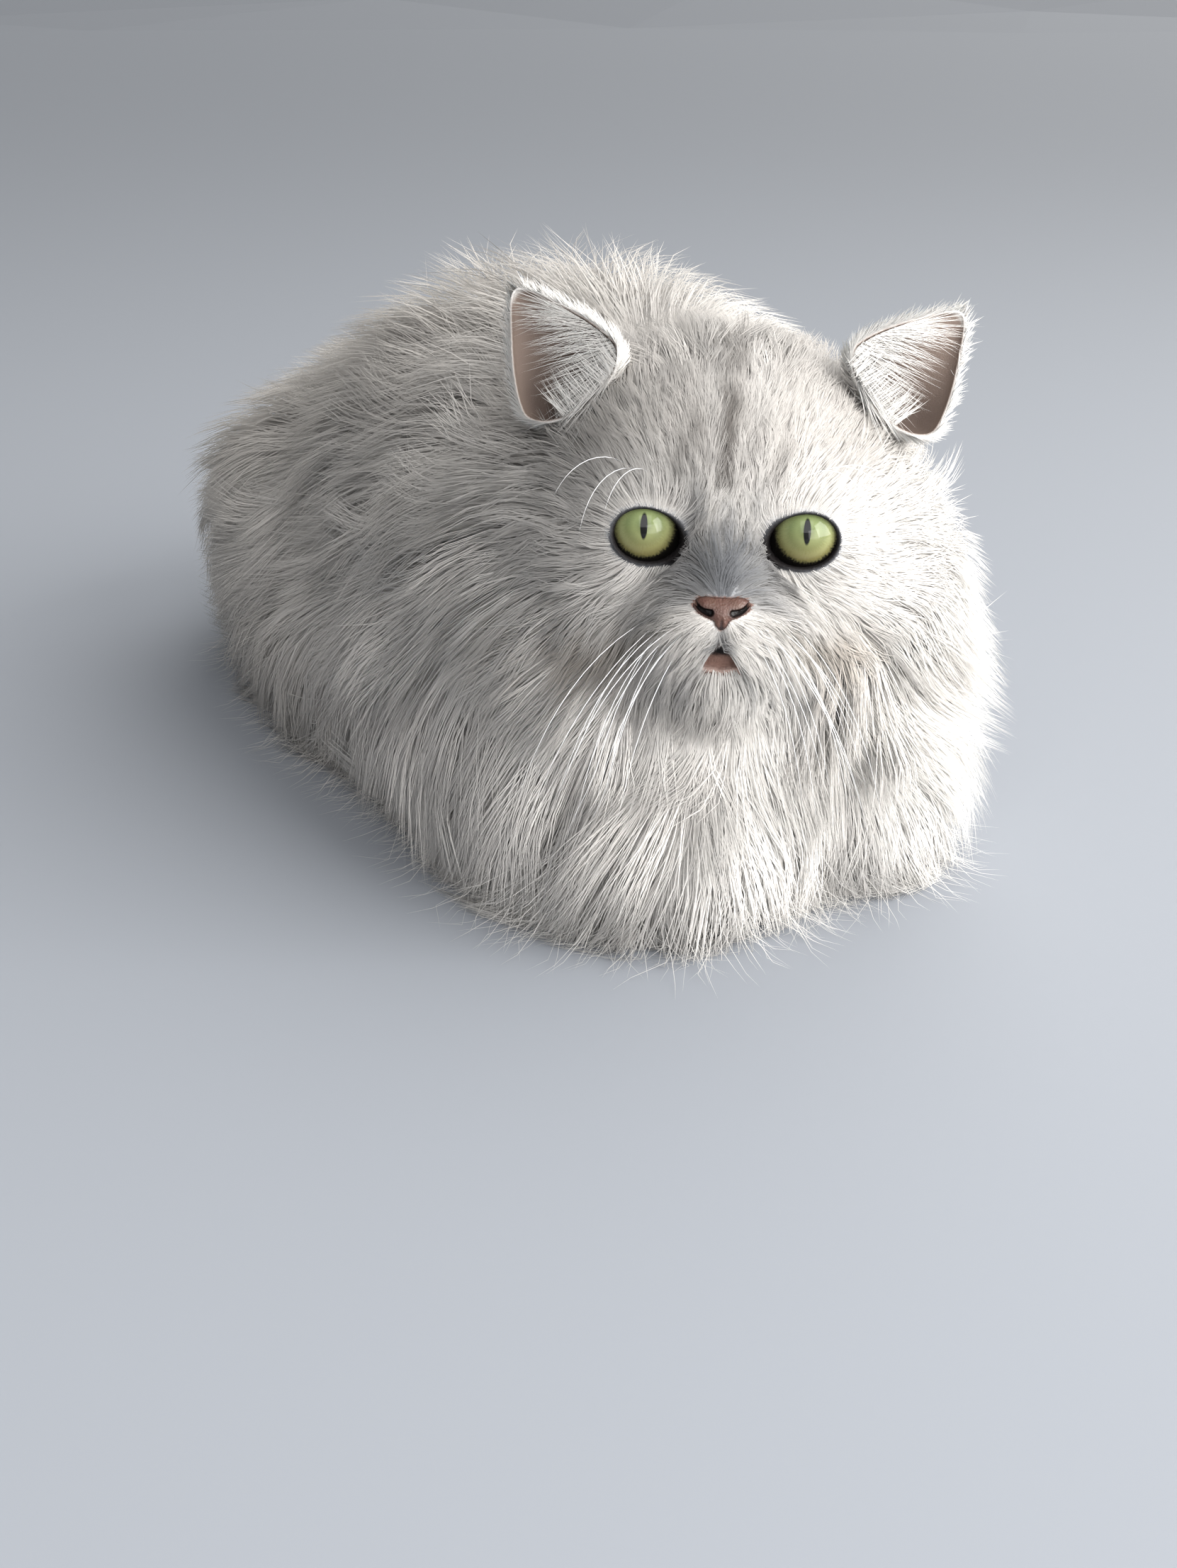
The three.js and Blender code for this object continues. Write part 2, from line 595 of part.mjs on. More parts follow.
/** A plug of the nose's outline, rounded in front, grown by a margin. */
function nosePlug(margin) {
  const options = { depth: BLADE.nose, bevelEnabled: false, curveSegments: 4 };
  const blade = new THREE.ExtrudeGeometry(noseOutline(margin), options);
  const place = placed([0, NOSE.root + margin, NOSE.z], [90, 0, 0]).premultiply(TO_CAT);
  const radii = [NOSE.width * NOSE_BALL.wide, NOSE.depth, NOSE.height * NOSE_BALL.high];
  const grown = radii.map((radius) => radius + margin);
  const front = ellipsoid([0, NOSE.y, NOSE.z], grown, NOSE.detail, TO_CAT);
  return solid(blade, place).intersect(front);
}

/** The nose leather with its two nostrils. */
function makeNose() {
  let nose = nosePlug(0);
  for (const side of [-1, 1]) {
    const radii = [NOSTRIL.width, NOSTRIL.depth, NOSTRIL.height];
    const centre = [side * NOSTRIL.x, NOSE.y - NOSE.depth * NOSTRIL.set, NOSTRIL.z];
    const turn = [0, side * NOSTRIL.slant, 0];
    nose = nose.subtract(ellipsoid(centre, radii, NOSTRIL.detail, TO_CAT, turn));
  }
  return nose;
}

/** The point of the face that lies behind a place in the front view. */
function facePoint(x, z) {
  const forward = new THREE.Vector3(0, -1, 0);
  const start = new THREE.Vector3(x, FACE_RAY.from, z);
  return surfacePoint(start, forward, coreLevel(headFlesh), FACE_RAY.far);
}

/** The groove of the mouth: down from the nose, then along both lips. */
function mouthGroove() {
  const grooves = [];
  const section = new THREE.Shape();
  section.absellipse(0, 0, MOUTH.groove, MOUTH.groove * MOUTH.oval, 0, 2 * Math.PI);
  const options = { steps: 8, bevelEnabled: false, curveSegments: 3 };
  for (const side of [-1, 1]) {
    const points = MOUTH.shares.map((share) => {
      const x = side * MOUTH.half * share;
      return facePoint(x, MOUTH.top - MOUTH.drop * Math.sin((share * Math.PI) / 2));
    });
    const lip = new THREE.CatmullRomCurve3(points);
    grooves.push(solid(new THREE.ExtrudeGeometry(section, { ...options, extrudePath: lip }), TO_CAT));
  }
  const philtrum = new THREE.LineCurve3(facePoint(0, MOUTH.top), facePoint(0, NOSE.z - NOSE.height / 2 + 1));
  const straight = { ...options, steps: 2, extrudePath: philtrum };
  grooves.push(solid(new THREE.ExtrudeGeometry(section, straight), TO_CAT));
  const { openHalf, openDrop, lip, deep } = MOUTH;
  const gape = new THREE.Shape();
  const upper = [openHalf * GAPE.upper, -openDrop * GAPE.fall];
  const lower = [openHalf * GAPE.lower, lip - openDrop];
  gape.moveTo(0, GAPE.peak);
  gape.quadraticCurveTo(...upper, openHalf, -openDrop);
  gape.quadraticCurveTo(...lower, 0, lip - openDrop);
  gape.quadraticCurveTo(-lower[0], lower[1], -openHalf, -openDrop);
  gape.quadraticCurveTo(-upper[0], upper[1], 0, GAPE.peak);
  const cut = { depth: BLADE.gape, bevelEnabled: false, curveSegments: 3 };
  const blade = new THREE.ExtrudeGeometry(gape, cut);
  const back = facePoint(0, MOUTH.top - openDrop / 2).y + deep;
  grooves.push(solid(blade, placed([0, back, MOUTH.top], [90, 0, 0]).premultiply(TO_CAT)));
  return wasm.Manifold.union(grooves);
}

/** A rounded ear form, wide at its root and narrow at its tip, grown by a margin. */
function earForm(side, margin, shift) {
  const geometry = new THREE.IcosahedronGeometry(1, EAR.detail);
  const places = geometry.attributes.position;
  for (let index = 0; index < places.count; index += 1) {
    const height = places.getZ(index);
    const taper = 1 - EAR.taper * Math.max(0, height) ** EAR.curve;
    const tall = height > 0 ? EAR.height + margin : EAR.root + margin;
    const width = (EAR.width + margin) * taper;
    const depth = (EAR.depth + margin) * taper;
    places.setXYZ(index, places.getX(index) * width, places.getY(index) * depth - shift, height * tall);
  }
  const place = placed([side * EAR.x, EAR.y, EAR.z], [EAR.tilt, side * EAR.lean, side * EAR.turn]);
  return solid(geometry, place.premultiply(TO_CAT));
}

/** One ear: a thin cup open to the front. */
function makeEar(side) {
  return earForm(side, 0, 0).subtract(earForm(side, -EAR.wall, EAR.cup));
}

/** The head's cell: an oval that ends behind in a cone along the coat's lie. */
function headCell(margin) {
  const { back, neckRadius, slope, rim } = HEAD_CELL;
  const profile = [
    new THREE.Vector2(0, -rim),
    new THREE.Vector2(rim, -rim),
    new THREE.Vector2(rim, back + slope * (rim - neckRadius) + margin * CONE_GAP),
    new THREE.Vector2(neckRadius, back + margin * CONE_GAP),
    new THREE.Vector2(0, back + margin),
  ];
  const cone = solid(new THREE.LatheGeometry(profile, CELL_SIDES), TO_CAT);
  const radii = HEAD_CELL.radii.map((radius) => radius + margin);
  return ellipsoid(HEAD_CELL.centre, radii, CELL_DETAIL, TO_CAT).intersect(cone);
}

/** The neck's cell: all that lies ahead of a cone round the neck, with ruff and bib. */
function neckCell(margin) {
  const { base, axis, core, slope, rim, reach } = NECK_CELL;
  const profile = [
    new THREE.Vector2(0, -margin),
    new THREE.Vector2(core, -margin * CONE_GAP),
    new THREE.Vector2(rim, -margin * CONE_GAP - slope * (rim - core)),
    new THREE.Vector2(rim, reach),
    new THREE.Vector2(0, reach),
  ];
  const turn = new THREE.Quaternion().setFromUnitVectors(
    new THREE.Vector3(0, 1, 0),
    new THREE.Vector3(...axis).normalize(),
  );
  const matrix = new THREE.Matrix4().compose(new THREE.Vector3(...base), turn, new THREE.Vector3(1, 1, 1));
  return solid(new THREE.LatheGeometry(profile, CELL_SIDES), matrix);
}

/** One foreleg's cell. */
function forelegCell(side, margin) {
  const centre = [FORELEG_CELL.middle + side * FORELEG_CELL.x, FORELEG_CELL.y, FORELEG_CELL.z];
  return ellipsoid(centre, FORELEG_CELL.radii.map((radius) => radius + margin), CELL_DETAIL);
}

/** One haunch's cell. */
function haunchCell(side, margin) {
  const centre = [side * HAUNCH_CELL.x, HAUNCH_CELL.y, HAUNCH_CELL.z];
  return ellipsoid(centre, HAUNCH_CELL.radii.map((radius) => radius + margin), CELL_DETAIL);
}

/** The tail's cell between two shares of its route. */
function tailCell(margin, from, to) {
  const wide = (along) => tailRadius(along) + TAIL_CELL.spare + margin * TUBE_GAP;
  return tailTube(wide, TAIL_CELL.sides, TAIL.steps, from, to, margin);
}

const WHITE_COAT = new THREE.MeshStandardMaterial({ color: 0xdcdcda, roughness: 0.85, metalness: 0 });
const GREY_COAT = new THREE.MeshStandardMaterial({ color: 0xc9c9c8, roughness: 0.85, metalness: 0 });
const EAR_SKIN = new THREE.MeshStandardMaterial({ color: 0xb8a398, roughness: 0.7, metalness: 0 });
const NOSE_LEATHER = new THREE.MeshStandardMaterial({ color: 0xa5705c, roughness: 0.5, metalness: 0 });
const EYE_GREEN = new THREE.MeshStandardMaterial({ color: 0x7d8a4f, roughness: 0.08, metalness: 0 });

/** The whole coated body on the floor, before it is parted. */
function wholeBody() {
  const cores = [trunkCore(), headCore(), tailCore()];
  const locks = [...trunkLocks(), ...headLocks(), ...tailLocks()];
  return wasm.Manifold.union([...cores, ...locks]).trimByPlane([0, 0, 1], 0);
}

/** The head with its face carved and its ears' roots cleared. */
function carveHead(part) {
  let head = part;
  for (const side of [-1, 1]) {
    head = carveEye(head, side);
    head = head.subtract(earForm(side, GAP, 0));
  }
  return head.subtract(nosePlug(GAP)).subtract(mouthGroove());
}

/** All the nodes of the cat. */
function buildCat() {
  const cat = new THREE.Group();
  const take = (name, body, look) => cat.add(asMesh(name, body, look));
  let rest = wholeBody();
  take('head', carveHead(rest.intersect(headCell(0))), WHITE_COAT);
  rest = rest.subtract(headCell(GAP));
  for (const [side, word] of [[1, 'left'], [-1, 'right']]) {
    rest = rest.subtract(earForm(side, GAP, 0));
    take(`ear_${word}`, makeEar(side), EAR_SKIN);
    const radii = [EYE.radius, EYE.radius, EYE.radius];
    const eye = ellipsoid([side * EYE.x, EYE.y, EYE.z], radii, EYE.detail, TO_CAT);
    take(`eye_${word}`, eye, EYE_GREEN);
  }
  take('nose', makeNose(), NOSE_LEATHER);
  const { from, to } = TAIL_CELL;
  take('tail_base', rest.intersect(tailCell(0, from, TAIL.split)), WHITE_COAT);
  rest = rest.subtract(tailCell(GAP, from, TAIL.split));
  take('tail_tip', rest.intersect(tailCell(0, TAIL.split, to)), WHITE_COAT);
  rest = rest.subtract(tailCell(GAP, TAIL.split, to));
  for (const [side, word] of [[1, 'left'], [-1, 'right']]) {
    take(`foreleg_${word}`, rest.intersect(forelegCell(side, 0)), GREY_COAT);
    rest = rest.subtract(forelegCell(side, GAP));
    take(`hind_leg_${word}`, rest.intersect(haunchCell(side, 0)), WHITE_COAT);
    rest = rest.subtract(haunchCell(side, GAP));
  }
  take('neck', rest.intersect(neckCell(0)), WHITE_COAT);
  take('torso', rest.subtract(neckCell(GAP)), WHITE_COAT);
  return cat;
}

const group = buildCat();

export default group;
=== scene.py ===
"""A silver-shaded persian cat lying in a loaf: one skin under a long coat of solid tufts.

Places inside the classes are in millimetres, either in the cat's frame or in the head's
own frame (x to the cat's left, y to its back, z up). Finished meshes are in metres.
"""

import logging
import math
from collections.abc import Callable
from dataclasses import dataclass, field
from enum import Enum

import bmesh
import bpy
import numpy as np
from bpy.types import Material, Mesh, Object
from mathutils import Matrix, Vector
from mathutils.kdtree import KDTree


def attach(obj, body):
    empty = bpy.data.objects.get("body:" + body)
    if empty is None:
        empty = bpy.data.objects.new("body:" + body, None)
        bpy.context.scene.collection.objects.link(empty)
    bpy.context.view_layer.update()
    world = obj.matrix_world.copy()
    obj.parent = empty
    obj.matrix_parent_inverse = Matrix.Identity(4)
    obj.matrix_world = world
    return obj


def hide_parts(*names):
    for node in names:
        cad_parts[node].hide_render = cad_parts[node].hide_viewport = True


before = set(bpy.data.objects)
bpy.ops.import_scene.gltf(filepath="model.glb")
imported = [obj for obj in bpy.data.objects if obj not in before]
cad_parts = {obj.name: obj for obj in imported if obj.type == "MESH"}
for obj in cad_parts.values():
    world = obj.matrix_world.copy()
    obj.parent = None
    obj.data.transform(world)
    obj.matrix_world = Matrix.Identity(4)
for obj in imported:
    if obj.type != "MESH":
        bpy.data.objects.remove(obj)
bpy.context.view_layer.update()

LOG = logging.getLogger("persian_cat")
MM = 0.001
BODY = "root"
TINY = 1e-9
FLOOR_CLEARANCE = 0.7
MARKS = "markings"
SIDES = ((1.0, "left"), (-1.0, "right"))
HALVINGS = 12
STEEPEST = 30.0
UP = np.array((0.0, 0.0, 1.0))
AHEAD = np.array((0.0, -1.0, 0.0))

Triple = tuple[float, float, float]
Array = np.ndarray
Chance = np.random.Generator


def unit(vectors: Array) -> Array:
    """Vectors of any stack, each brought to length one."""
    length = np.linalg.norm(vectors, axis=-1, keepdims=True)
    return vectors / np.maximum(length, TINY)


def smoothstep(values: Array, low: float, high: float) -> Array:
    """A soft ramp from 0 at low to 1 at high."""
    share = np.clip((values - low) / (high - low), 0.0, 1.0)
    return share * share * (3.0 - 2.0 * share)


def hill(values: Array, width: float) -> Array:
    """A soft hill of height one over zero."""
    return np.exp(-0.5 * (values / width) ** 2)


def blend(a: Array, b: Array, share: Array) -> Array:
    """Two stacks of vectors mixed by one share each."""
    return a * (1.0 - share)[..., None] + b * share[..., None]


def leaning(gap: Array, width: float) -> Array:
    """A share that falls softly from 1 to 0 as a gap grows past zero."""
    return 1.0 / (1.0 + np.exp(np.clip(gap / width, -STEEPEST, STEEPEST)))


def turned(steps: tuple[tuple[str, float], ...]) -> Array:
    """One rotation made of several turns.

    Args:
        steps: Each turn's axis and angle in degrees, the last one done first.

    Returns:
        The rotation as a matrix.
    """
    whole = Matrix.Identity(3)
    for axis, angle in steps:
        whole = whole @ Matrix.Rotation(math.radians(angle), 3, axis)
    return np.array(whole)


@dataclass(frozen=True)
class Mass:
    """One rounded mass of flesh with the depth of coat that stands over it."""

    centre: Triple
    radii: Triple
    coat: float


@dataclass
class Reading:
    """What the flesh says at some points: distance to it, coat depth and outward way."""

    distance: Array
    coat: Array
    outward: Array


class Flesh:
    """A smooth sum of rounded masses."""

    def __init__(self, masses: tuple[Mass, ...], blend_width: float, coat_width: float) -> None:
        """Keeps the masses as arrays.

        Args:
            masses: The rounded masses.
            blend_width: How softly their surfaces run together, in millimetres.
            coat_width: How softly the coat's depth runs from one to the next.
        """
        self.centres = np.array([mass.centre for mass in masses], float)
        self.radii = np.array([mass.radii for mass in masses], float)
        self.coats = np.array([mass.coat for mass in masses], float)
        self.blend_width = blend_width
        self.coat_width = coat_width

    def read(self, points: Array) -> Reading:
        """Distance, coat depth and outward direction at points.

        Args:
            points: Places in the masses' own frame, one a row.

        Returns:
            The reading at each point.
        """
        offset = points[:, None, :] - self.centres
        near = np.linalg.norm(offset / self.radii, axis=2)
        slope = offset / self.radii**2
        steep = np.maximum(np.linalg.norm(slope, axis=2), TINY)
        distance = near * (near - 1.0) / steep
        nearest = distance.min(axis=1, keepdims=True)
        weight = np.exp((nearest - distance) / self.blend_width)
        coat_weight = np.exp((nearest - distance) / self.coat_width)
        coat = (coat_weight * self.coats).sum(axis=1) / coat_weight.sum(axis=1)
        outward = ((weight / steep)[..., None] * slope).sum(axis=1)
        level = nearest[:, 0] - self.blend_width * np.log(weight.sum(axis=1))
        return Reading(level, coat, unit(outward))


@dataclass(frozen=True)
class HeadPose:
    """Where the head sits on the neck and how it is turned, in degrees."""

    place: Triple = (-28.7, -163.2, 113.6)
    yaw: float = -36.7
    pitch: float = -13.0
    roll: float = 0.9

    def turn(self) -> Array:
        """The rotation from the head's own frame to the cat's."""
        return turned((("Z", self.yaw), ("X", self.pitch), ("Y", self.roll)))

    def to_cat(self, points: Array) -> Array:
        """Places of the head's frame in the cat's frame."""
        return points @ self.turn().T + np.array(self.place)

    def to_head(self, points: Array) -> Array:
        """Places of the cat's frame in the head's frame."""
        return (points - np.array(self.place)) @ self.turn()

    def turn_to_cat(self, directions: Array) -> Array:
        """Directions of the head's frame in the cat's frame."""
        return directions @ self.turn().T


TRUNK_MASSES = (
    Mass((-3, -50, 82), (60, 94, 66), 31),
    Mass((0, 36, 64), (54, 92, 54), 30),
    Mass((-6, -8, 30), (66, 114, 32), 38),
    Mass((4, 108, 50), (46, 66, 40), 25),
    Mass((38, 98, 46), (30, 58, 40), 23),
    Mass((-35, 98, 46), (28, 56, 39), 20),
    Mass((30, -95, 62), (32, 50, 50), 28),
    Mass((-46, -95, 62), (32, 50, 50), 28),
    Mass((-18, -132, 54), (52, 46, 54), 42),
    Mass((-18, -125, 98), (44, 40, 40), 38),
    Mass((12, -140, 17), (18, 42, 17), 29),
    Mass((-57, -140, 17), (20, 44, 17), 35),
)

HEAD_MASSES = (
    Mass((0, 8, 13), (43, 42, 33), 15),
    Mass((25, 0, -12), (23, 28, 24), 41),
    Mass((-25, 0, -12), (23, 28, 24), 36),
    Mass((0, -13, 15), (34, 21, 23), 7),
    Mass((22, -20, -1), (14, 13, 13), 2.5),
    Mass((-22, -20, -1), (14, 13, 13), 2.5),
    Mass((0, -28, -12), (8, 9, 13), 2),
    Mass((0, -26, -27), (18, 13, 12), 3.5),
    Mass((8, -31, -30), (9, 8, 7), 2),
    Mass((-8, -31, -30), (9, 8, 7), 2),
    Mass((0, -33.5, -22), (6.5, 5, 5), 0.5),
    Mass((0, -27, -38), (10, 9, 7), 4),
    Mass((0, -5, -29), (32, 28, 18), 15),
)


@dataclass(frozen=True)
class FaceFur:
    """The face's short fur, and the depths between which it grows long."""

    depth: float = 2.5
    front: float = -32.0
    back: float = 2.0


@dataclass
class CatBody:
    """The flesh of trunk and head together, read in either frame."""

    pose: HeadPose = HeadPose()
    face_fur: FaceFur = FaceFur()
    join: float = 9.0
    coat_join: float = 14.0
    head_join: float = 3.0
    head_coat_join: float = 7.0

    def __post_init__(self) -> None:
        """Makes the two sums of masses."""
        self.trunk = Flesh(TRUNK_MASSES, self.join, self.coat_join)
        self.head = Flesh(HEAD_MASSES, self.head_join, self.head_coat_join)

    def read_head(self, points: Array) -> Reading:
        """The head's flesh and coat at places of its own frame.

        Args:
            points: Places in the head's frame.

        Returns:
            The reading at each place.
        """
        reading = self.head.read(points)
        fur = self.face_fur
        ramp = smoothstep(points[:, 1], fur.front, fur.back)
        coat = fur.depth + (reading.coat - fur.depth) * ramp
        reading.coat = np.minimum(coat, reading.coat + fur.depth)
        return reading

    def read(self, points: Array) -> Reading:
        """The whole cat's flesh and coat at places of the cat's frame.

        Args:
            points: Places in the cat's frame.

        Returns:
            The reading at each point.
        """
        trunk = self.trunk.read(points)
        head = self.read_head(self.pose.to_head(points))
        share = leaning(head.distance - trunk.distance, self.coat_join)
        nearest = np.minimum(trunk.distance, head.distance)
        other = np.maximum(trunk.distance, head.distance)
        level = nearest - self.join * np.log1p(np.exp((nearest - other) / self.join))
        lean = leaning(head.distance - trunk.distance, self.join)
        outward = blend(trunk.outward, self.pose.turn_to_cat(head.outward), lean)
        coat = trunk.coat + (head.coat - trunk.coat) * share
        return Reading(level, coat, unit(outward))

    def head_share(self, points: Array) -> Array:
        """How much a place of the cat's frame belongs to the head, from 0 to 1.

        Args:
            points: Places in the cat's frame.

        Returns:
            One share a place.
        """
        trunk = self.trunk.read(points)
        head = self.head.read(self.pose.to_head(points))
        return leaning(head.distance - trunk.distance, self.join)


@dataclass(frozen=True)
class EyeSizes:
    """The eyeball and the opening between the lids, in the head's frame."""

    x: float = 22.6
    y: float = -25.2
    z: float = -1.0
    radius: float = 11.0
    lid: float = 1.5
    opening_inset: float = 0.4
    opening_drop: float = -1.7
    half_outer: float = 9.3
    half_inner: float = 10.2
    half_height: float = 7.5
    slant: float = 8.0
    behind: float = 1.6


@dataclass(frozen=True)
class NoseSizes:
    """The nose leather, in the head's frame."""

    y: float = -38.0
    z: float = -23.0
    depth: float = 8.0
    angles: tuple[float, ...] = (-90.0, -70.0, -50.0, -30.0, -15.0, 0.0, 10.0, 20.0, 30.0, 60.0, 90.0)
    reach: tuple[float, ...] = (4.6, 3.8, 3.0, 3.3, 4.4, 6.5, 8.2, 8.6, 8.0, 4.9, 4.2)
    proud: float = 1.1
    nostril_outer: tuple[float, float] = (7.4, 2.7)
    nostril_inner: tuple[float, float] = (3.3, 0.1)
    nostril_thin: float = 0.55
    nostril_thick: float = 1.15


@dataclass(frozen=True)
class MouthSizes:
    """The mouth's line and its small gape, in the head's frame."""

    top: float = -31.8
    drop: float = 8.7
    half: float = 13.5
    groove: float = 1.1
    open_half: float = 6.6
    open_drop: float = 7.4
    dark_drop: float = 3.0
    deep: float = 3.2


EYE = EyeSizes()
NOSE = NoseSizes()
MOUTH = MouthSizes()
EYE_VIEW = 4.0 * EYE.radius


def eye_measure(points: Array) -> Array:
    """How far a place of the face is from the nearer eye's opening, one at its edge.

    Args:
        points: Places in the head's frame.

    Returns:
        Zero at the opening's middle and one at its edge.
    """
    side = np.sign(points[:, 0])
    outward = points[:, 0] * side - (EYE.x - EYE.opening_inset)
    up = points[:, 2] - (EYE.z + EYE.opening_drop)
    angle = math.radians(EYE.slant)
    across = outward * math.cos(angle) + up * math.sin(angle)
    along = up * math.cos(angle) - outward * math.sin(angle)
    half = np.where(across > 0, EYE.half_outer, EYE.half_inner)
    return np.hypot(across / half, along / EYE.half_height)


def eye_rim(points: Array) -> Array:
    """The eye's measure, eased below and at the inner corner, where the dark rim is broad.

    Args:
        points: Places in the head's frame.

    Returns:
        The measure at each place.
    """
    side = np.sign(points[:, 0])
    inward = smoothstep((EYE.x - EYE.opening_inset) - points[:, 0] * side, 4.0, 11.0)
    down = smoothstep((EYE.z + EYE.opening_drop) - points[:, 2], -2.0, 5.0)
    return eye_measure(points) / (1.0 + 0.05 * down + (0.06 + 0.16 * down) * inward)


def nose_measure(x: Array, z: Array) -> Array:
    """How far a place is from the nose leather's middle in the front view, one at its edge."""
    angle = np.degrees(np.arctan2(z, np.abs(x)))
    return np.hypot(x, z) / np.interp(angle, NOSE.angles, NOSE.reach)


def nostril_measure(x: Array, z: Array) -> Array:
    """How far a place is from the nearer nostril's slit, one at its edge.

    Args:
        x: Places across, from the nose's middle.
        z: Places up, from it.

    Returns:
        The measure at each place.
    """
    start = np.array(NOSE.nostril_outer)
    run = np.array(NOSE.nostril_inner) - start
    offset = np.stack([np.abs(x), z], axis=1) - start
    share = np.clip(offset @ run / (run @ run), 0.0, 1.0)
    sag = -0.7 * np.sin(share * math.pi)
    gap = offset - share[:, None] * run
    gap[:, 1] -= sag
    return np.hypot(gap[:, 0], gap[:, 1]) / (
        NOSE.nostril_thin + (NOSE.nostril_thick - NOSE.nostril_thin) * share)


def mouth_line(x: Array) -> Array:
    """The height of the mouth's line at a distance from the middle."""
    share = np.clip(np.abs(x) / MOUTH.half, 0.0, 1.0)
    return MOUTH.top - MOUTH.drop * np.sin(share * math.pi / 2.0)


def gape_measure(points: Array) -> Array:
    """How deep a place lies in the small opening of the mouth, from 0 to 1.

    Args:
        points: Places in the head's frame.

    Returns:
        The depth at each place.
    """
    x = np.abs(points[:, 0])
    top = MOUTH.top - MOUTH.open_drop * (x / MOUTH.open_half) ** 1.2
    floor = MOUTH.top - MOUTH.open_drop + 1.4 * (x / MOUTH.open_half)
    inside = np.minimum(top - points[:, 2], points[:, 2] - floor)
    return smoothstep(inside, -0.3, 1.1) * (points[:, 1] < -15)


class Markings:
    """The coat's and the skin's colours, the same for both, in linear light."""

    WHITE = np.array((0.95, 0.92, 0.88))
    SILVER = np.array((0.50, 0.48, 0.455))
    WARM = np.array((0.70, 0.61, 0.50))
    SLATE = np.array((0.13, 0.135, 0.145))
    TAUPE = np.array((0.56, 0.51, 0.46))
    UMBER = np.array((0.17, 0.15, 0.135))
    SOOT = np.array((0.012, 0.010, 0.010))
    BEIGE = np.array((0.55, 0.43, 0.31))
    LIP = np.array((0.17, 0.10, 0.08))
    PINK = np.array((0.25, 0.15, 0.12))

    def streaks(self, points: Array) -> Array:
        """How dark the forehead's streaks are, from 0 to 1.

        Args:
            points: Places in the head's frame.

        Returns:
            The darkness of the streaks at each place.
        """
        x = points[:, 0]
        z = points[:, 2]
        front = smoothstep(-points[:, 1], -8.0, 6.0)
        wander = 0.7 * np.sin(z * 0.45) + 0.4 * np.sin(z * 1.1 + 1.0)
        rise = smoothstep(z, 3.0, 9.0) * (1.0 - smoothstep(z, 31.0, 37.0))
        middle = hill(x + 0.5 - 0.5 * wander, 1.5) * rise * 0.85
        halo = hill(x + 0.4, 6.0) * rise * 0.22
        crest = hill(x + 0.2 - 0.6 * wander, 3.4) * hill(z - 43.0, 5.0) * 0.7
        whole = middle + halo + crest
        for side, inner_x, slope in ((1.0, 12.0, 0.40), (-1.0, 14.0, -0.62)):
            line = x * side - inner_x - slope * (z - 8.0) * 0.6 - 0.5 * wander
            run = smoothstep(z, 5.0, 9.0) * (1.0 - smoothstep(z, 16.0, 25.0))
            whole += hill(line, 1.5) * run * 0.55
            fine = x * side - 5.6 - 0.16 * (z - 6.0)
            run = smoothstep(z, 9.0, 14.0) * (1.0 - smoothstep(z, 22.0, 31.0))
            whole += hill(fine, 1.2) * run * 0.42
        temple = hill(np.abs(x) - 31.0, 6.5) * hill(z - 17.0, 6.5) * 0.26
        return np.clip((whole + temple) * front, 0.0, 1.0)

    def face(self, points: Array, colour: Array) -> Array:
        """The face's markings laid over a coat colour, with painted shade along the cleft below the nose.

        Args:
            points: Places in the head's frame.
            colour: The coat's colour at them.

        Returns:
            The colour with the face's markings.
        """
        x = points[:, 0]
        z = points[:, 2]
        ahead = smoothstep(-points[:, 1], 6.0, 16.0)
        crown = smoothstep(z, 8.0, 26.0) * (1.0 - 0.75 * hill(np.abs(x - 1.5) - 5.5, 2.6))
        colour = blend(colour, self.TAUPE, crown * 0.30)
        colour = blend(colour, self.UMBER, self.streaks(points) * 0.85)
        reach = 7.6 - 0.16 * np.clip(z + 18.0, 0.0, 20.0)
        bridge = hill(x - 0.4, reach) * smoothstep(z, -23.5, -20.5)
        bridge *= 1.0 - smoothstep(z, -11.0, 0.0)
        colour = blend(colour, self.SLATE * 1.5, bridge * ahead * 0.95)
        root = hill(x, 2.0) * smoothstep(z, -14.0, -6.0) * (1.0 - smoothstep(z, -1.0, 5.0))
        colour = blend(colour, self.SLATE * 1.8, root * ahead * 0.45)
        # painted shade: a dark line down the cleft between nose and mouth
        groove = hill(x, 1.1) * smoothstep(z, MOUTH.top - 3.0, MOUTH.top) * (z < NOSE.z)
        colour = blend(colour, self.SLATE, groove * ahead * 0.65)
        lip = hill(z - MOUTH.top + 1.2 * np.abs(x), 1.8) * (np.abs(x) < 8.0) * ahead
        colour = blend(colour, self.SLATE * 1.6, lip * 0.4)
        for side in (-1.0, 1.0):
            cheek = hill(x - side * 29.0, 7.0) * hill(z + 29.0, 4.5)
            colour = blend(colour, self.BEIGE, cheek * ahead * 0.42)
            tear = hill(x - side * 9.3, 2.0) * hill(z + 8.0, 4.5)
            colour = blend(colour, self.SOOT * 2.5, tear * ahead * (0.70 - 0.2 * side))
            below = hill(x - side * 10.5, 3.6) * hill(z + 14.0, 3.4)
            colour = blend(colour, self.SLATE * 1.5, below * ahead * 0.2)
            brow = hill(x - side * 9.5, 2.2) * hill(z - 1.5, 4.0)
            colour = blend(colour, self.SLATE * 1.1, brow * ahead * (0.50 - 0.2 * side))
            fold = z + 27.5 + 0.42 * (side * x - 18.0) - 0.6 * np.sin(x * 0.5)
            pad = hill(x - side * 19.5, 6.0) * hill(fold, 1.0)
            colour = blend(colour, self.WARM * 0.28, pad * ahead * 0.75)
            pad = hill(x - side * 15.5, 4.0) * hill(fold - 3.6, 0.9)
            colour = blend(colour, self.SLATE * 1.3, pad * ahead * 0.5)
        return colour

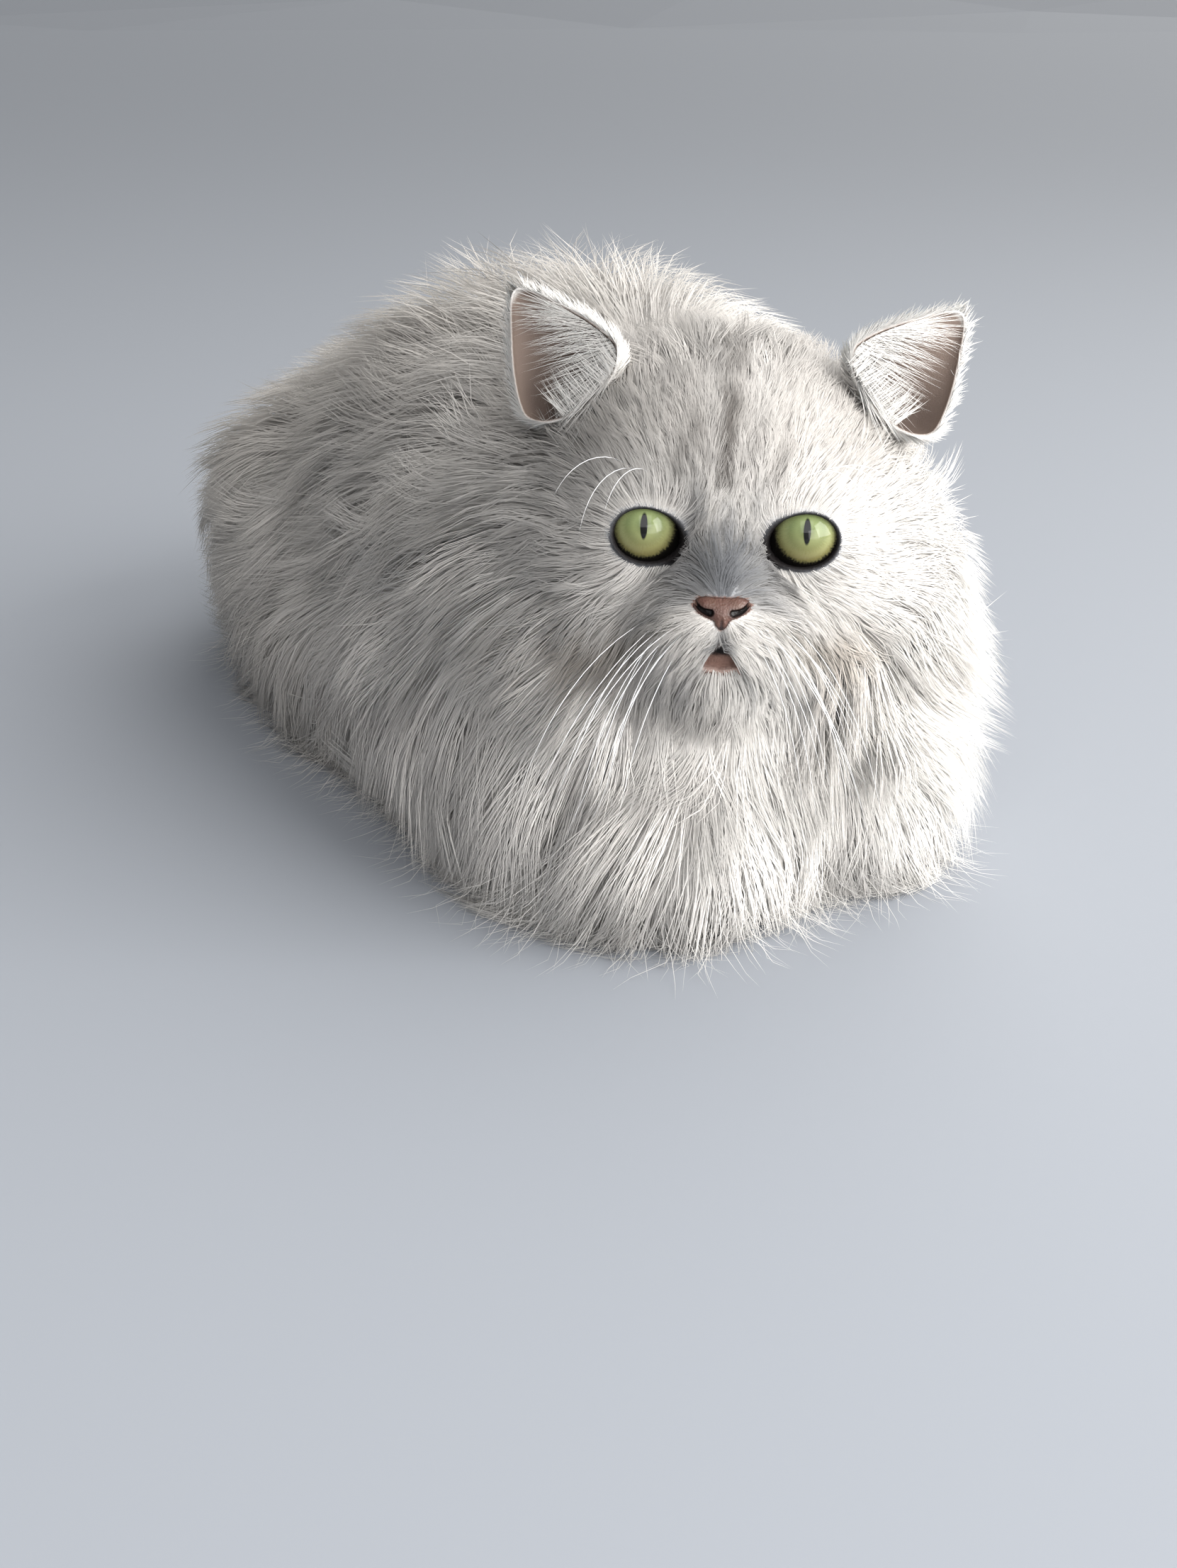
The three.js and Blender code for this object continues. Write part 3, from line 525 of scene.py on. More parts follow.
    def bare(self, points: Array, colour: Array) -> Array:
        """The lids' rims, the lips and the inner corners of the eyes, on the skin alone, with the mouth's
        opening painted near black as painted shade.

        Args:
            points: Places in the head's frame.
            colour: The skin's colour at them.

        Returns:
            The colour with the bare parts.
        """
        x = points[:, 0]
        z = points[:, 2]
        ahead = smoothstep(-points[:, 1], 10.0, 16.0)
        rim = 1.0 - smoothstep(eye_rim(points), 1.09, 1.14)
        colour = blend(colour, self.SOOT, rim * ahead)
        seam = hill(z - mouth_line(x), 0.8) * (np.abs(x) < MOUTH.half)
        colour = blend(colour, self.LIP * 0.5, seam * ahead * 0.7)
        lash = hill(eye_rim(points) - 1.16, 0.07) * ahead
        colour = blend(colour, self.SLATE * 2.0, lash * 0.6)
        ring = nose_measure(x, z - NOSE.z)
        colour = blend(colour, self.LIP, (1.0 - smoothstep(ring, 1.02, 1.14)) * ahead)
        # painted shade: the mouth's small opening drawn near black for the dark inside the mouth
        gape = gape_measure(points) * ahead
        colour = blend(colour, self.SOOT, gape)
        low = smoothstep(MOUTH.top - MOUTH.dark_drop - z, -0.5, 0.7)
        low *= 1.0 - smoothstep(MOUTH.top - MOUTH.open_drop - 1.2 - z, 0.0, 0.6)
        lower = low * (1.0 - smoothstep(np.abs(x - 0.8), 4.6, 6.4)) * ahead
        colour = blend(colour, self.PINK, lower * 0.85)
        edge = hill(z - (MOUTH.top - MOUTH.open_drop - 1.0), 0.35) * (np.abs(x - 1.5) < 5.5) * ahead
        return blend(colour, self.LIP * 0.4, edge * 0.7)

    def coat(self, body: CatBody, points: Array, outward: Array) -> Array:
        """The coat's colour at places of the cat's frame.

        Args:
            body: The cat's flesh.
            points: Places in the cat's frame.
            outward: The outward way at them.

        Returns:
            One linear colour a place.
        """
        head = body.pose.to_head(points)
        share = body.head_share(points)
        upper = smoothstep(outward[:, 2], -0.1, 0.9) * (1.0 - share)
        patch = 0.5 + 0.5 * np.sin(points[:, 1] * 0.09 + 2.0 * np.sin(points[:, 0] * 0.05))
        silver = np.clip(0.06 + 0.24 * upper * (0.6 + 0.4 * patch), 0.0, 1.0)
        bib = hill(points[:, 1] + 190.0, 60.0) * (1.0 - share)
        silver = silver * (1.0 - 0.9 * bib)
        colour = blend(np.tile(self.WHITE, (len(points), 1)), self.SILVER, silver)
        colour = blend(colour, self.WARM, (0.10 + 0.16 * upper) * (1.0 - bib))
        return blend(colour, self.face(head, colour), smoothstep(share, 0.35, 0.65))


MARKINGS = Markings()


def new_material(name: str) -> tuple[Material, bpy.types.Node]:
    """A fresh node material and its surface.

    Args:
        name: The material's name.

    Returns:
        The material and its surface node.
    """
    made = bpy.data.materials.new(name)
    made.use_nodes = True
    return made, made.node_tree.nodes["Principled BSDF"]


@dataclass(frozen=True)
class CoatFinish:
    """Silky white fur: its colour comes from the piece's own markings."""

    name: str = "silky_coat"
    roughness: float = 0.62
    specular: float = 0.22
    glow: float = 0.0
    grain: float = 900.0
    grain_depth: float = 0.0

    def material(self) -> Material:
        """The finish as a node material.

        Returns:
            The material, its colour read from the piece's markings.
        """
        made, surface = new_material(self.name)
        nodes = made.node_tree.nodes
        links = made.node_tree.links
        surface.inputs["Roughness"].default_value = self.roughness
        surface.inputs["Specular IOR Level"].default_value = self.specular
        marks = nodes.new("ShaderNodeAttribute")
        marks.attribute_name = MARKS
        links.new(marks.outputs["Color"], surface.inputs["Base Color"])
        if self.grain_depth > 0.0:
            place = nodes.new("ShaderNodeTexCoord")
            noise = nodes.new("ShaderNodeTexNoise")
            noise.inputs["Scale"].default_value = self.grain
            noise.inputs["Detail"].default_value = 4.0
            links.new(place.outputs["Object"], noise.inputs["Vector"])
            bump = nodes.new("ShaderNodeBump")
            bump.inputs["Distance"].default_value = self.grain_depth
            links.new(noise.outputs["Fac"], bump.inputs["Height"])
            links.new(bump.outputs["Normal"], surface.inputs["Normal"])
        if self.glow > 0.0:
            through = nodes.new("ShaderNodeBsdfTranslucent")
            links.new(marks.outputs["Color"], through.inputs["Color"])
            both = nodes.new("ShaderNodeMixShader")
            both.inputs[0].default_value = self.glow
            links.new(surface.outputs[0], both.inputs[1])
            links.new(through.outputs[0], both.inputs[2])
            links.new(both.outputs[0], nodes["Material Output"].inputs["Surface"])
        return made


@dataclass(frozen=True)
class EyeFinish:
    """A wet green eye: slit pupil, fibred iris, dark rim."""

    name: str = "green_eye"
    pupil_half_width: float = 0.95
    pupil_half_height: float = 3.5
    iris_radius: float = 9.2
    gold: float = 0.75

    def material(self) -> Material:
        """The finish as a node material on the eye's own front view.

        Returns:
            The material.
        """
        made, surface = new_material(self.name)
        nodes = made.node_tree.nodes
        links = made.node_tree.links
        surface.inputs["Roughness"].default_value = 0.4
        surface.inputs["Specular IOR Level"].default_value = 0.08
        surface.inputs["Coat Weight"].default_value = 0.7
        surface.inputs["Coat Roughness"].default_value = 0.02
        surface.inputs["Coat IOR"].default_value = 1.45

        def maths(operation: str, first: object, second: object = None) -> bpy.types.NodeSocket:
            """One sum of two sockets or numbers.

            Args:
                operation: What is done.
                first: A socket or a number.
                second: Another one, if the operation takes two.

            Returns:
                The result's socket.
            """
            node = nodes.new("ShaderNodeMath")
            node.operation = operation
            for slot, value in zip(node.inputs, (first, second)):
                if isinstance(value, bpy.types.NodeSocket):
                    links.new(value, slot)
                elif value is not None:
                    slot.default_value = value
            return node.outputs[0]

        front = nodes.new("ShaderNodeUVMap")
        front.uv_map = "front_view"
        split = nodes.new("ShaderNodeSeparateXYZ")
        links.new(front.outputs[0], split.inputs[0])
        across = maths("MULTIPLY", maths("SUBTRACT", split.outputs[0], 0.5), EYE_VIEW)
        along = maths("MULTIPLY", maths("SUBTRACT", split.outputs[1], 0.5), EYE_VIEW)
        radius = maths("SQRT", maths("ADD", maths("POWER", across, 2.0), maths("POWER", along, 2.0)))
        angle = maths("ARCTAN2", along, across)
        fibre_place = nodes.new("ShaderNodeCombineXYZ")
        links.new(maths("MULTIPLY", angle, 7.0), fibre_place.inputs[0])
        links.new(maths("MULTIPLY", radius, 0.35), fibre_place.inputs[1])
        fibres = nodes.new("ShaderNodeTexNoise")
        fibres.inputs["Scale"].default_value = 2.2
        fibres.inputs["Detail"].default_value = 5.0
        fibres.inputs["Roughness"].default_value = 0.65
        links.new(fibre_place.outputs[0], fibres.inputs["Vector"])
        wander = maths("MULTIPLY", maths("SUBTRACT", fibres.outputs["Fac"], 0.5), 0.34)
        share = maths("ADD", maths("DIVIDE", radius, self.iris_radius), wander)
        ramp = nodes.new("ShaderNodeValToRGB")
        stops = (
            (0.0, (0.08, 0.105, 0.045)),
            (0.30, (0.195, 0.235, 0.10)),
            (0.52, (0.15, 0.185, 0.075)),
            (0.72, (0.245, 0.27, 0.12)),
            (0.88, (0.14, 0.145, 0.06)),
            (0.96, (0.035, 0.032, 0.018)),
            (1.0, (0.006, 0.005, 0.004)),
        )
        ramp.color_ramp.elements[0].position = stops[0][0]
        ramp.color_ramp.elements[0].color = (*stops[0][1], 1.0)
        ramp.color_ramp.elements[1].position = stops[-1][0]
        ramp.color_ramp.elements[1].color = (*stops[-1][1], 1.0)
        for position, colour in stops[1:-1]:
            stop = ramp.color_ramp.elements.new(position)
            stop.color = (*colour, 1.0)
        links.new(share, ramp.inputs[0])
        low = nodes.new("ShaderNodeMapRange")
        low.inputs["From Min"].default_value = 1.0
        low.inputs["From Max"].default_value = -8.0
        low.inputs["To Max"].default_value = self.gold
        links.new(maths("ADD", along, maths("MULTIPLY", wander, 12.0)), low.inputs["Value"])
        rim_gone = nodes.new("ShaderNodeMapRange")
        rim_gone.inputs["From Min"].default_value = 0.97
        rim_gone.inputs["From Max"].default_value = 0.86
        links.new(share, rim_gone.inputs["Value"])
        golden = nodes.new("ShaderNodeMix")
        golden.data_type = "RGBA"
        links.new(maths("MULTIPLY", low.outputs[0], rim_gone.outputs[0]), golden.inputs[0])
        links.new(ramp.outputs["Color"], golden.inputs[6])
        golden.inputs[7].default_value = (0.20, 0.165, 0.06, 1.0)
        slit = maths("SQRT", maths("ADD",
                                   maths("POWER", maths("DIVIDE", across, self.pupil_half_width), 2.0),
                                   maths("POWER", maths("DIVIDE", along, self.pupil_half_height), 2.0)))
        open_part = nodes.new("ShaderNodeMapRange")
        open_part.interpolation_type = "SMOOTHSTEP"
        open_part.inputs["From Min"].default_value = 0.88
        open_part.inputs["From Max"].default_value = 1.16
        links.new(slit, open_part.inputs["Value"])
        mix = nodes.new("ShaderNodeMix")
        mix.data_type = "RGBA"
        links.new(open_part.outputs["Result"], mix.inputs[0])
        mix.inputs[6].default_value = (0.003, 0.003, 0.003, 1.0)
        links.new(golden.outputs[2], mix.inputs[7])
        links.new(mix.outputs[2], surface.inputs["Base Color"])
        return made


@dataclass(frozen=True)
class LeatherFinish:
    """Bare moist skin, as on the nose, with a fine grain."""

    name: str = "nose_leather"
    colour: Triple = (0.105, 0.050, 0.036)
    dark: Triple = (0.03, 0.016, 0.015)
    roughness: float = 0.42
    grain: float = 1500.0
    grain_depth: float = 0.00012

    def material(self) -> Material:
        """The finish as a node material.

        Returns:
            The material, darker where the piece's own marks say so.
        """
        made, surface = new_material(self.name)
        nodes = made.node_tree.nodes
        links = made.node_tree.links
        surface.inputs["Roughness"].default_value = self.roughness
        place = nodes.new("ShaderNodeTexCoord")
        grain = nodes.new("ShaderNodeTexVoronoi")
        grain.inputs["Scale"].default_value = self.grain
        links.new(place.outputs["Object"], grain.inputs["Vector"])
        marks = nodes.new("ShaderNodeAttribute")
        marks.attribute_name = MARKS
        noise = nodes.new("ShaderNodeTexNoise")
        noise.inputs["Scale"].default_value = self.grain * 0.25
        links.new(place.outputs["Object"], noise.inputs["Vector"])
        tint = nodes.new("ShaderNodeMix")
        tint.data_type = "RGBA"
        tint.blend_type = "MULTIPLY"
        tint.inputs["Factor"].default_value = 0.22
        links.new(marks.outputs["Color"], tint.inputs[6])
        links.new(noise.outputs["Color"], tint.inputs[7])
        links.new(tint.outputs[2], surface.inputs["Base Color"])
        bump = nodes.new("ShaderNodeBump")
        bump.inputs["Distance"].default_value = self.grain_depth
        links.new(grain.outputs["Distance"], bump.inputs["Height"])
        links.new(bump.outputs["Normal"], surface.inputs["Normal"])
        return made


def new_piece(mesh: Mesh, name: str, material: Material) -> Object:
    """An object at the origin around a finished mesh.

    Args:
        mesh: The mesh, in metres.
        name: The piece's name.
        material: Its finish.

    Returns:
        The linked object.
    """
    piece = bpy.data.objects.new(name, mesh)
    bpy.context.scene.collection.objects.link(piece)
    mesh.materials.clear()
    mesh.materials.append(material)
    return piece


def mesh_of(name: str, places: Array, corners: Array) -> Mesh:
    """A mesh of triangles from arrays.

    Args:
        name: The mesh's name.
        places: Vertices in millimetres.
        corners: Three vertex numbers a triangle.

    Returns:
        The mesh, in metres, shaded smooth.
    """
    mesh = bpy.data.meshes.new(name)
    mesh.vertices.add(len(places))
    mesh.vertices.foreach_set("co", (places * MM).astype(np.float32).ravel())
    mesh.loops.add(corners.size)
    mesh.loops.foreach_set("vertex_index", corners.astype(np.int32).ravel())
    mesh.polygons.add(len(corners))
    mesh.polygons.foreach_set("loop_start", np.arange(0, corners.size, 3, dtype=np.int32))
    mesh.polygons.foreach_set("use_smooth", np.ones(len(corners), bool))
    mesh.update(calc_edges=True)
    return mesh


def mark(mesh: Mesh, colours: Array) -> None:
    """Writes the markings on a mesh's vertices.

    Args:
        mesh: The mesh.
        colours: One linear colour a vertex.
    """
    whole = np.concatenate([colours, np.ones((len(colours), 1))], axis=1)
    layer = mesh.color_attributes.new(MARKS, "FLOAT_COLOR", "POINT")
    layer.data.foreach_set("color", whole.astype(np.float32).ravel())


def vertices_of(mesh: Mesh) -> Array:
    """A mesh's vertices in millimetres.

    Args:
        mesh: The mesh, in metres.

    Returns:
        One place a vertex.
    """
    places = np.empty(len(mesh.vertices) * 3, np.float32)
    mesh.vertices.foreach_get("co", places)
    return places.reshape(-1, 3).astype(float) / MM


def ball(fineness: int) -> bmesh.types.BMesh:
    """A round ball of radius one, to be drawn out.

    Args:
        fineness: How often its faces are split.

    Returns:
        The ball.
    """
    shape = bmesh.new()
    bmesh.ops.create_icosphere(shape, subdivisions=fineness, radius=1.0)
    return shape


def reshape(shape: bmesh.types.BMesh, places: Array) -> None:
    """Moves a shape's vertices to new places in millimetres."""
    for vertex, place in zip(shape.verts, places * MM):
        vertex.co = place


def directions_of(shape: bmesh.types.BMesh) -> Array:
    """The directions of a ball's vertices."""
    return unit(np.array([vertex.co[:] for vertex in shape.verts], float))


def finish_shape(shape: bmesh.types.BMesh, name: str) -> Mesh:
    """A smooth mesh from a bmesh, which is freed.

    Args:
        shape: The bmesh, in metres.
        name: The mesh's name.

    Returns:
        The mesh with its faces pointing out.
    """
    bmesh.ops.recalc_face_normals(shape, faces=shape.faces)
    for face in shape.faces:
        face.smooth = True
    mesh = bpy.data.meshes.new(name)
    shape.to_mesh(mesh)
    shape.free()
    return mesh


def draw_out(
    starts: Array,
    directions: Array,
    level: Callable[[Array], Array],
    far: float,
    step: float = 3.0,
) -> Array:
    """Where rays leave a level surface, found from outside.

    Args:
        starts: Where the rays begin, inside the surface.
        directions: Their directions.
        level: Positive outside the surface.
        far: A reach that is outside everywhere.
        step: The march inward before the surface is closed in on.

    Returns:
        One place a ray, on the surface.
    """
    outer = np.full(len(starts), far)
    searching = np.arange(len(starts))
    while len(searching):
        trial = starts[searching] + directions[searching] * (outer[searching, None] - step)
        outside = level(trial) > 0
        outer[searching[outside]] -= step
        searching = searching[outside & (outer[searching] > step)]
    inner = outer - step
    for _ in range(HALVINGS):
        middle = (inner + outer) / 2.0
        outside = level(starts + directions * middle[:, None]) > 0
        outer = np.where(outside, middle, outer)
        inner = np.where(outside, inner, middle)
    return starts + directions * inner[:, None]


@dataclass(frozen=True)
class Tail:
    """The tail on the floor along the left side, from the rump forward."""

    middle: tuple[float, float] = (56.0, 146.0)
    bend: float = 58.0
    start_angle: float = 160.0
    end_angle: float = 10.0
    high: float = 46.0
    low: float = 29.0
    forward: tuple[Triple, ...] = ((119, 100, 28), (120, 50, 28), (113, 8, 27), (102, -24, 26))
    full: float = 30.0
    root_full: float = 22.0
    root_share: float = 0.25
    flesh: float = 9.0
    tip: float = 5.0
    tip_share: float = 0.22
    points: int = 120

    def route(self) -> Array:
        """The tail's middle line, evenly spaced.

        Returns:
            Places in the cat's frame.
        """
        share = np.linspace(0.0, 1.0, 5)
        angle = np.radians(self.start_angle + (self.end_angle - self.start_angle) * share)
        x = self.middle[0] + self.bend * np.cos(angle)
        y = self.middle[1] + self.bend * np.sin(angle)
        z = self.high + (self.low - self.high) * np.sqrt(share)
        knots = np.concatenate([np.stack([x, y, z], axis=1), np.array(self.forward, float)])
        padded = np.concatenate([2 * knots[:1] - knots[1:2], knots, 2 * knots[-1:] - knots[-2:-1]])
        line = []
        for index in range(1, len(padded) - 2):
            a, b, c, d = padded[index - 1 : index + 3]
            for t in np.linspace(0.0, 1.0, 12, endpoint=False):
                line.append(0.5 * (2 * b + (c - a) * t + (2 * a - 5 * b + 4 * c - d) * t**2
                                   + (3 * b - a - 3 * c + d) * t**3))
        line.append(knots[-1])
        line = np.array(line)
        run = np.concatenate([[0.0], np.cumsum(np.linalg.norm(np.diff(line, axis=0), axis=1))])
        even = np.linspace(0.0, run[-1], self.points)
        return np.stack([np.interp(even, run, line[:, axis]) for axis in range(3)], axis=1)

    def coat_radius(self, along: Array) -> Array:
        """The radius out to the tips of the coat at shares of the length.

        Args:
            along: Shares of the length.

        Returns:
            One radius a share.
        """
        share = np.minimum(1.0, along / self.root_share)
        full = self.root_full + (self.full - self.root_full) * share
        to_tip = np.clip((1.0 - along) / self.tip_share, 0.0, 1.0)
        return full * np.sqrt(1.0 - (1.0 - to_tip) ** 2) + self.tip * (1.0 - to_tip)

    def skin_radius(self, along: Array) -> Array:
        """The skin's radius under the coat at shares of the length."""
        spare = np.maximum(0.0, self.coat_radius(along) - self.flesh)
        return np.minimum(self.flesh + 0.35 * spare, self.coat_radius(along) * 0.8)

    def at(self, route: Array, along: Array) -> Array:
        """Places on the route at shares of its length."""
        index = np.linspace(0.0, 1.0, len(route))
        return np.stack([np.interp(along, index, route[:, axis]) for axis in range(3)], axis=-1)

    def frame(self, route: Array, along: Array) -> tuple[Array, Array]:
        """The side and tangent directions of the route at shares of its length.

        Args:
            route: The tail's middle line.
            along: Shares of its length.

        Returns:
            The side and the tangent at each share.
        """
        ahead = self.at(route, np.clip(along + 0.01, 0, 1))
        behind = self.at(route, np.clip(along - 0.01, 0, 1))
        tangent = unit(ahead - behind)
        side = unit(np.cross(tangent, UP))
        return side, tangent


def skin_lift(coat: Array) -> Array:
    """How far the skin and its underfur lie outside the flesh, for a coat's depth."""
    return 0.35 * coat


@dataclass
class Skin:
    """One closed skin over trunk, legs, neck, head and tail, with the face's folds."""

    body: CatBody
    tail: Tail
    trunk_fineness: int = 6
    head_fineness: int = 7
    spine: Triple = (-4.0, -14.0, 62.0)
    spine_reach: float = 108.0
    heart: Triple = (0.0, -16.0, -6.0)
    trunk_far: float = 170.0
    head_far: float = 110.0
    lid_blend: float = 1.2
    lid_swell: float = 0.35
    seam_depth: float = 1.1
    cleft_depth: float = 0.9
    nose_bed: float = 2.2
    tail_end: float = 0.93
    tail_around: int = 20
    tail_along: int = 60
    # painted shade: how much darker the skin and underfur are drawn than the coat above them
    underfur_painted_shade: float = 0.92
    name: str = "skin"
    finish: CoatFinish = field(default_factory=lambda: CoatFinish(
        name="skin_and_underfur", roughness=0.8, specular=0.15, grain_depth=0.0006))

    def head_level(self, points: Array) -> Array:
        """Distance outside the head's skin, lids included, in the head's frame.

        Args:
            points: Places in the head's frame.

        Returns:
            The distance, negative inside.
        """
        reading = self.body.read_head(points)
        level = reading.distance - skin_lift(reading.coat)
        for side in (-1.0, 1.0):
            centre = np.array((side * EYE.x, EYE.y, EYE.z))
            lid = np.linalg.norm(points - centre, axis=1) - EYE.radius - EYE.lid
            nearest = np.minimum(level, lid)
            level = nearest - self.lid_blend * np.log1p(np.exp(-np.abs(level - lid) / self.lid_blend))
        return level

    def fold_face(self, points: Array) -> Array:
        """Opens the lids, sets the nose's bed and draws the mouth.

        Args:
            points: Skin places in the head's frame.

        Returns:
            The moved places.
        """
        moved = points.copy()
        front = points[:, 1] < -12.0
        measure = eye_measure(points)
        side = np.sign(points[:, 0])
        x = points[:, 0] - side * EYE.x
        z = points[:, 2] - EYE.z
        gone = np.sqrt(np.maximum(EYE.radius**2 - x**2 - z**2, 0.0))
        eye_front = EYE.y - gone
        open_part = (1.0 - smoothstep(measure, 0.93, 1.04)) * front
        moved[:, 1] += (eye_front + EYE.behind - moved[:, 1]) * open_part
        swell = hill(measure - 1.09, 0.05) * front * (measure > 1.0)
        moved[:, 1] -= self.lid_swell * swell
        seam = hill(points[:, 2] - mouth_line(points[:, 0]), MOUTH.groove)
        seam = seam * (1.0 - smoothstep(np.abs(points[:, 0]), MOUTH.half - 3.0, MOUTH.half))
        cleft = hill(points[:, 0], 0.9) * smoothstep(points[:, 2], MOUTH.top - 1.0, MOUTH.top + 1.0)
        cleft = cleft * (1.0 - smoothstep(points[:, 2], NOSE.z - 4.0, NOSE.z - 1.0))
        moved[:, 1] += (self.seam_depth * seam + self.cleft_depth * cleft) * front
        moved[:, 1] += MOUTH.deep * gape_measure(points) * front
        bed = nose_measure(points[:, 0], points[:, 2] - NOSE.z)
        moved[:, 1] += self.nose_bed * (1.0 - smoothstep(bed, 0.75, 1.0)) * front
        return moved

    def trunk_shape(self) -> Mesh:
        """The trunk's skin, drawn out from the spine and flat on the floor.

        Returns:
            The mesh.
        """
        shape = ball(self.trunk_fineness)
        directions = directions_of(shape)
        starts = np.tile(np.array(self.spine), (len(directions), 1))
        starts[:, 1] += self.spine_reach * directions[:, 1]

        def level(points: Array) -> Array:
            """Distance outside the trunk's skin."""
            reading = self.body.trunk.read(points)
            return reading.distance - skin_lift(reading.coat)

        places = draw_out(starts, directions, level, self.trunk_far)
        places[:, 2] = np.maximum(places[:, 2], FLOOR_CLEARANCE)
        reshape(shape, places)
        return finish_shape(shape, "trunk_skin")

    def head_shape(self) -> Mesh:
        """The head's skin, drawn out from close behind the face.

        Returns:
            The mesh.
        """
        shape = ball(self.head_fineness)
        directions = directions_of(shape)
        starts = np.tile(np.array(self.heart), (len(directions), 1))
        places = draw_out(starts, directions, self.head_level, self.head_far)
        reshape(shape, self.body.pose.to_cat(self.fold_face(places)))
        return finish_shape(shape, "head_skin")

    def tail_shape(self) -> Mesh:
        """The tail's skin, a tapered tube along its route.

        Returns:
            The mesh.
        """
        shape = bmesh.new()
        bmesh.ops.create_uvsphere(shape, u_segments=self.tail_around, v_segments=self.tail_along, radius=1.0)
        unit_places = directions_of(shape)
        along = np.arccos(np.clip(unit_places[:, 2], -1.0, 1.0)) / math.pi * self.tail_end
        angle = np.arctan2(unit_places[:, 1], unit_places[:, 0])
        route = self.tail.route()
        side, tangent = self.tail.frame(route, along)
        up = unit(np.cross(side, tangent))
        girth = self.tail.skin_radius(along) * (np.abs(unit_places[:, 2]) < 0.9999)
        places = self.tail.at(route, along)
        places += side * (girth * np.cos(angle))[:, None] + up * (girth * np.sin(angle))[:, None]
        places[:, 2] = np.maximum(places[:, 2], FLOOR_CLEARANCE)
        reshape(shape, places)
        return finish_shape(shape, "tail_skin")

    def build(self) -> Object:
        """Joins the three shapes to one skin and dresses it.

        Returns:
            The skin.
        """
        material = self.finish.material()
        whole = new_piece(self.trunk_shape(), self.name, material)
        for mesh in (self.head_shape(), self.tail_shape()):
            tool = new_piece(mesh, mesh.name, material)
            cut = whole.modifiers.new("join", "BOOLEAN")
            cut.operation = "UNION"
            cut.solver = "MANIFOLD"
            cut.object = tool
            graph = bpy.context.evaluated_depsgraph_get()
            joined = bpy.data.meshes.new_from_object(whole.evaluated_get(graph))
            whole.modifiers.clear()
            whole.data = joined
            bpy.data.objects.remove(tool)
        whole.data.name = self.name
        whole.data.polygons.foreach_set("use_smooth", np.ones(len(whole.data.polygons), bool))
        self.colour(whole.data)
        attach(whole, BODY)
        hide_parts("head", "neck", "torso", "foreleg_left", "foreleg_right",
                    "hind_leg_left", "hind_leg_right", "tail_base", "tail_tip")
        return whole

    def colour(self, mesh: Mesh) -> None:
        """Lays the markings on the skin, a little darker all over as painted shade under the coat.

        Args:
            mesh: The joined skin.
        """
        places = vertices_of(mesh)
        reading = self.body.read(places)
        colours = MARKINGS.coat(self.body, places, reading.outward)
        # painted shade: the skin and underfur drawn darker, as in the shade beneath the long coat
        colours *= self.underfur_painted_shade
        share = self.body.head_share(places)
        bare = MARKINGS.bare(self.body.pose.to_head(places), colours)
        mark(mesh, blend(colours, bare, smoothstep(share, 0.4, 0.6)))


@dataclass
class Eyes:
    """The two eyeballs with a slightly swollen clear front."""

    pose: HeadPose
    fineness: int = 6
    inset: float = 0.35
    bulge: float = 0.9
    bulge_width: float = 0.5
    gaze_up: float = 1.0

    def build(self) -> list[Object]:
        """Both eyes.

        Returns:
            The two pieces.
        """
        material = EyeFinish().material()
        made = []
        for side, word in SIDES:
            shape = ball(self.fineness)
            directions = directions_of(shape)
            off_axis = np.arccos(np.clip(-directions[:, 1], -1.0, 1.0))
            radius = EYE.radius - self.inset + self.bulge * hill(off_axis, self.bulge_width)
            places = directions * radius[:, None] + np.array((side * EYE.x, EYE.y, EYE.z))
            reshape(shape, self.pose.to_cat(places))
            layer = shape.loops.layers.uv.new("front_view")
            flat = np.stack([0.5 + directions[:, 0] * EYE.radius / EYE_VIEW,
                             0.5 + (directions[:, 2] * EYE.radius - self.gaze_up) / EYE_VIEW], axis=1)
            for face in shape.faces:
                for loop in face.loops:
                    loop[layer].uv = flat[loop.vert.index]
            eye = new_piece(finish_shape(shape, f"eyeball_{word}"), f"eyeball_{word}", material)
            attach(eye, BODY)
            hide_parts(f"eye_{word}")
            made.append(eye)
        return made


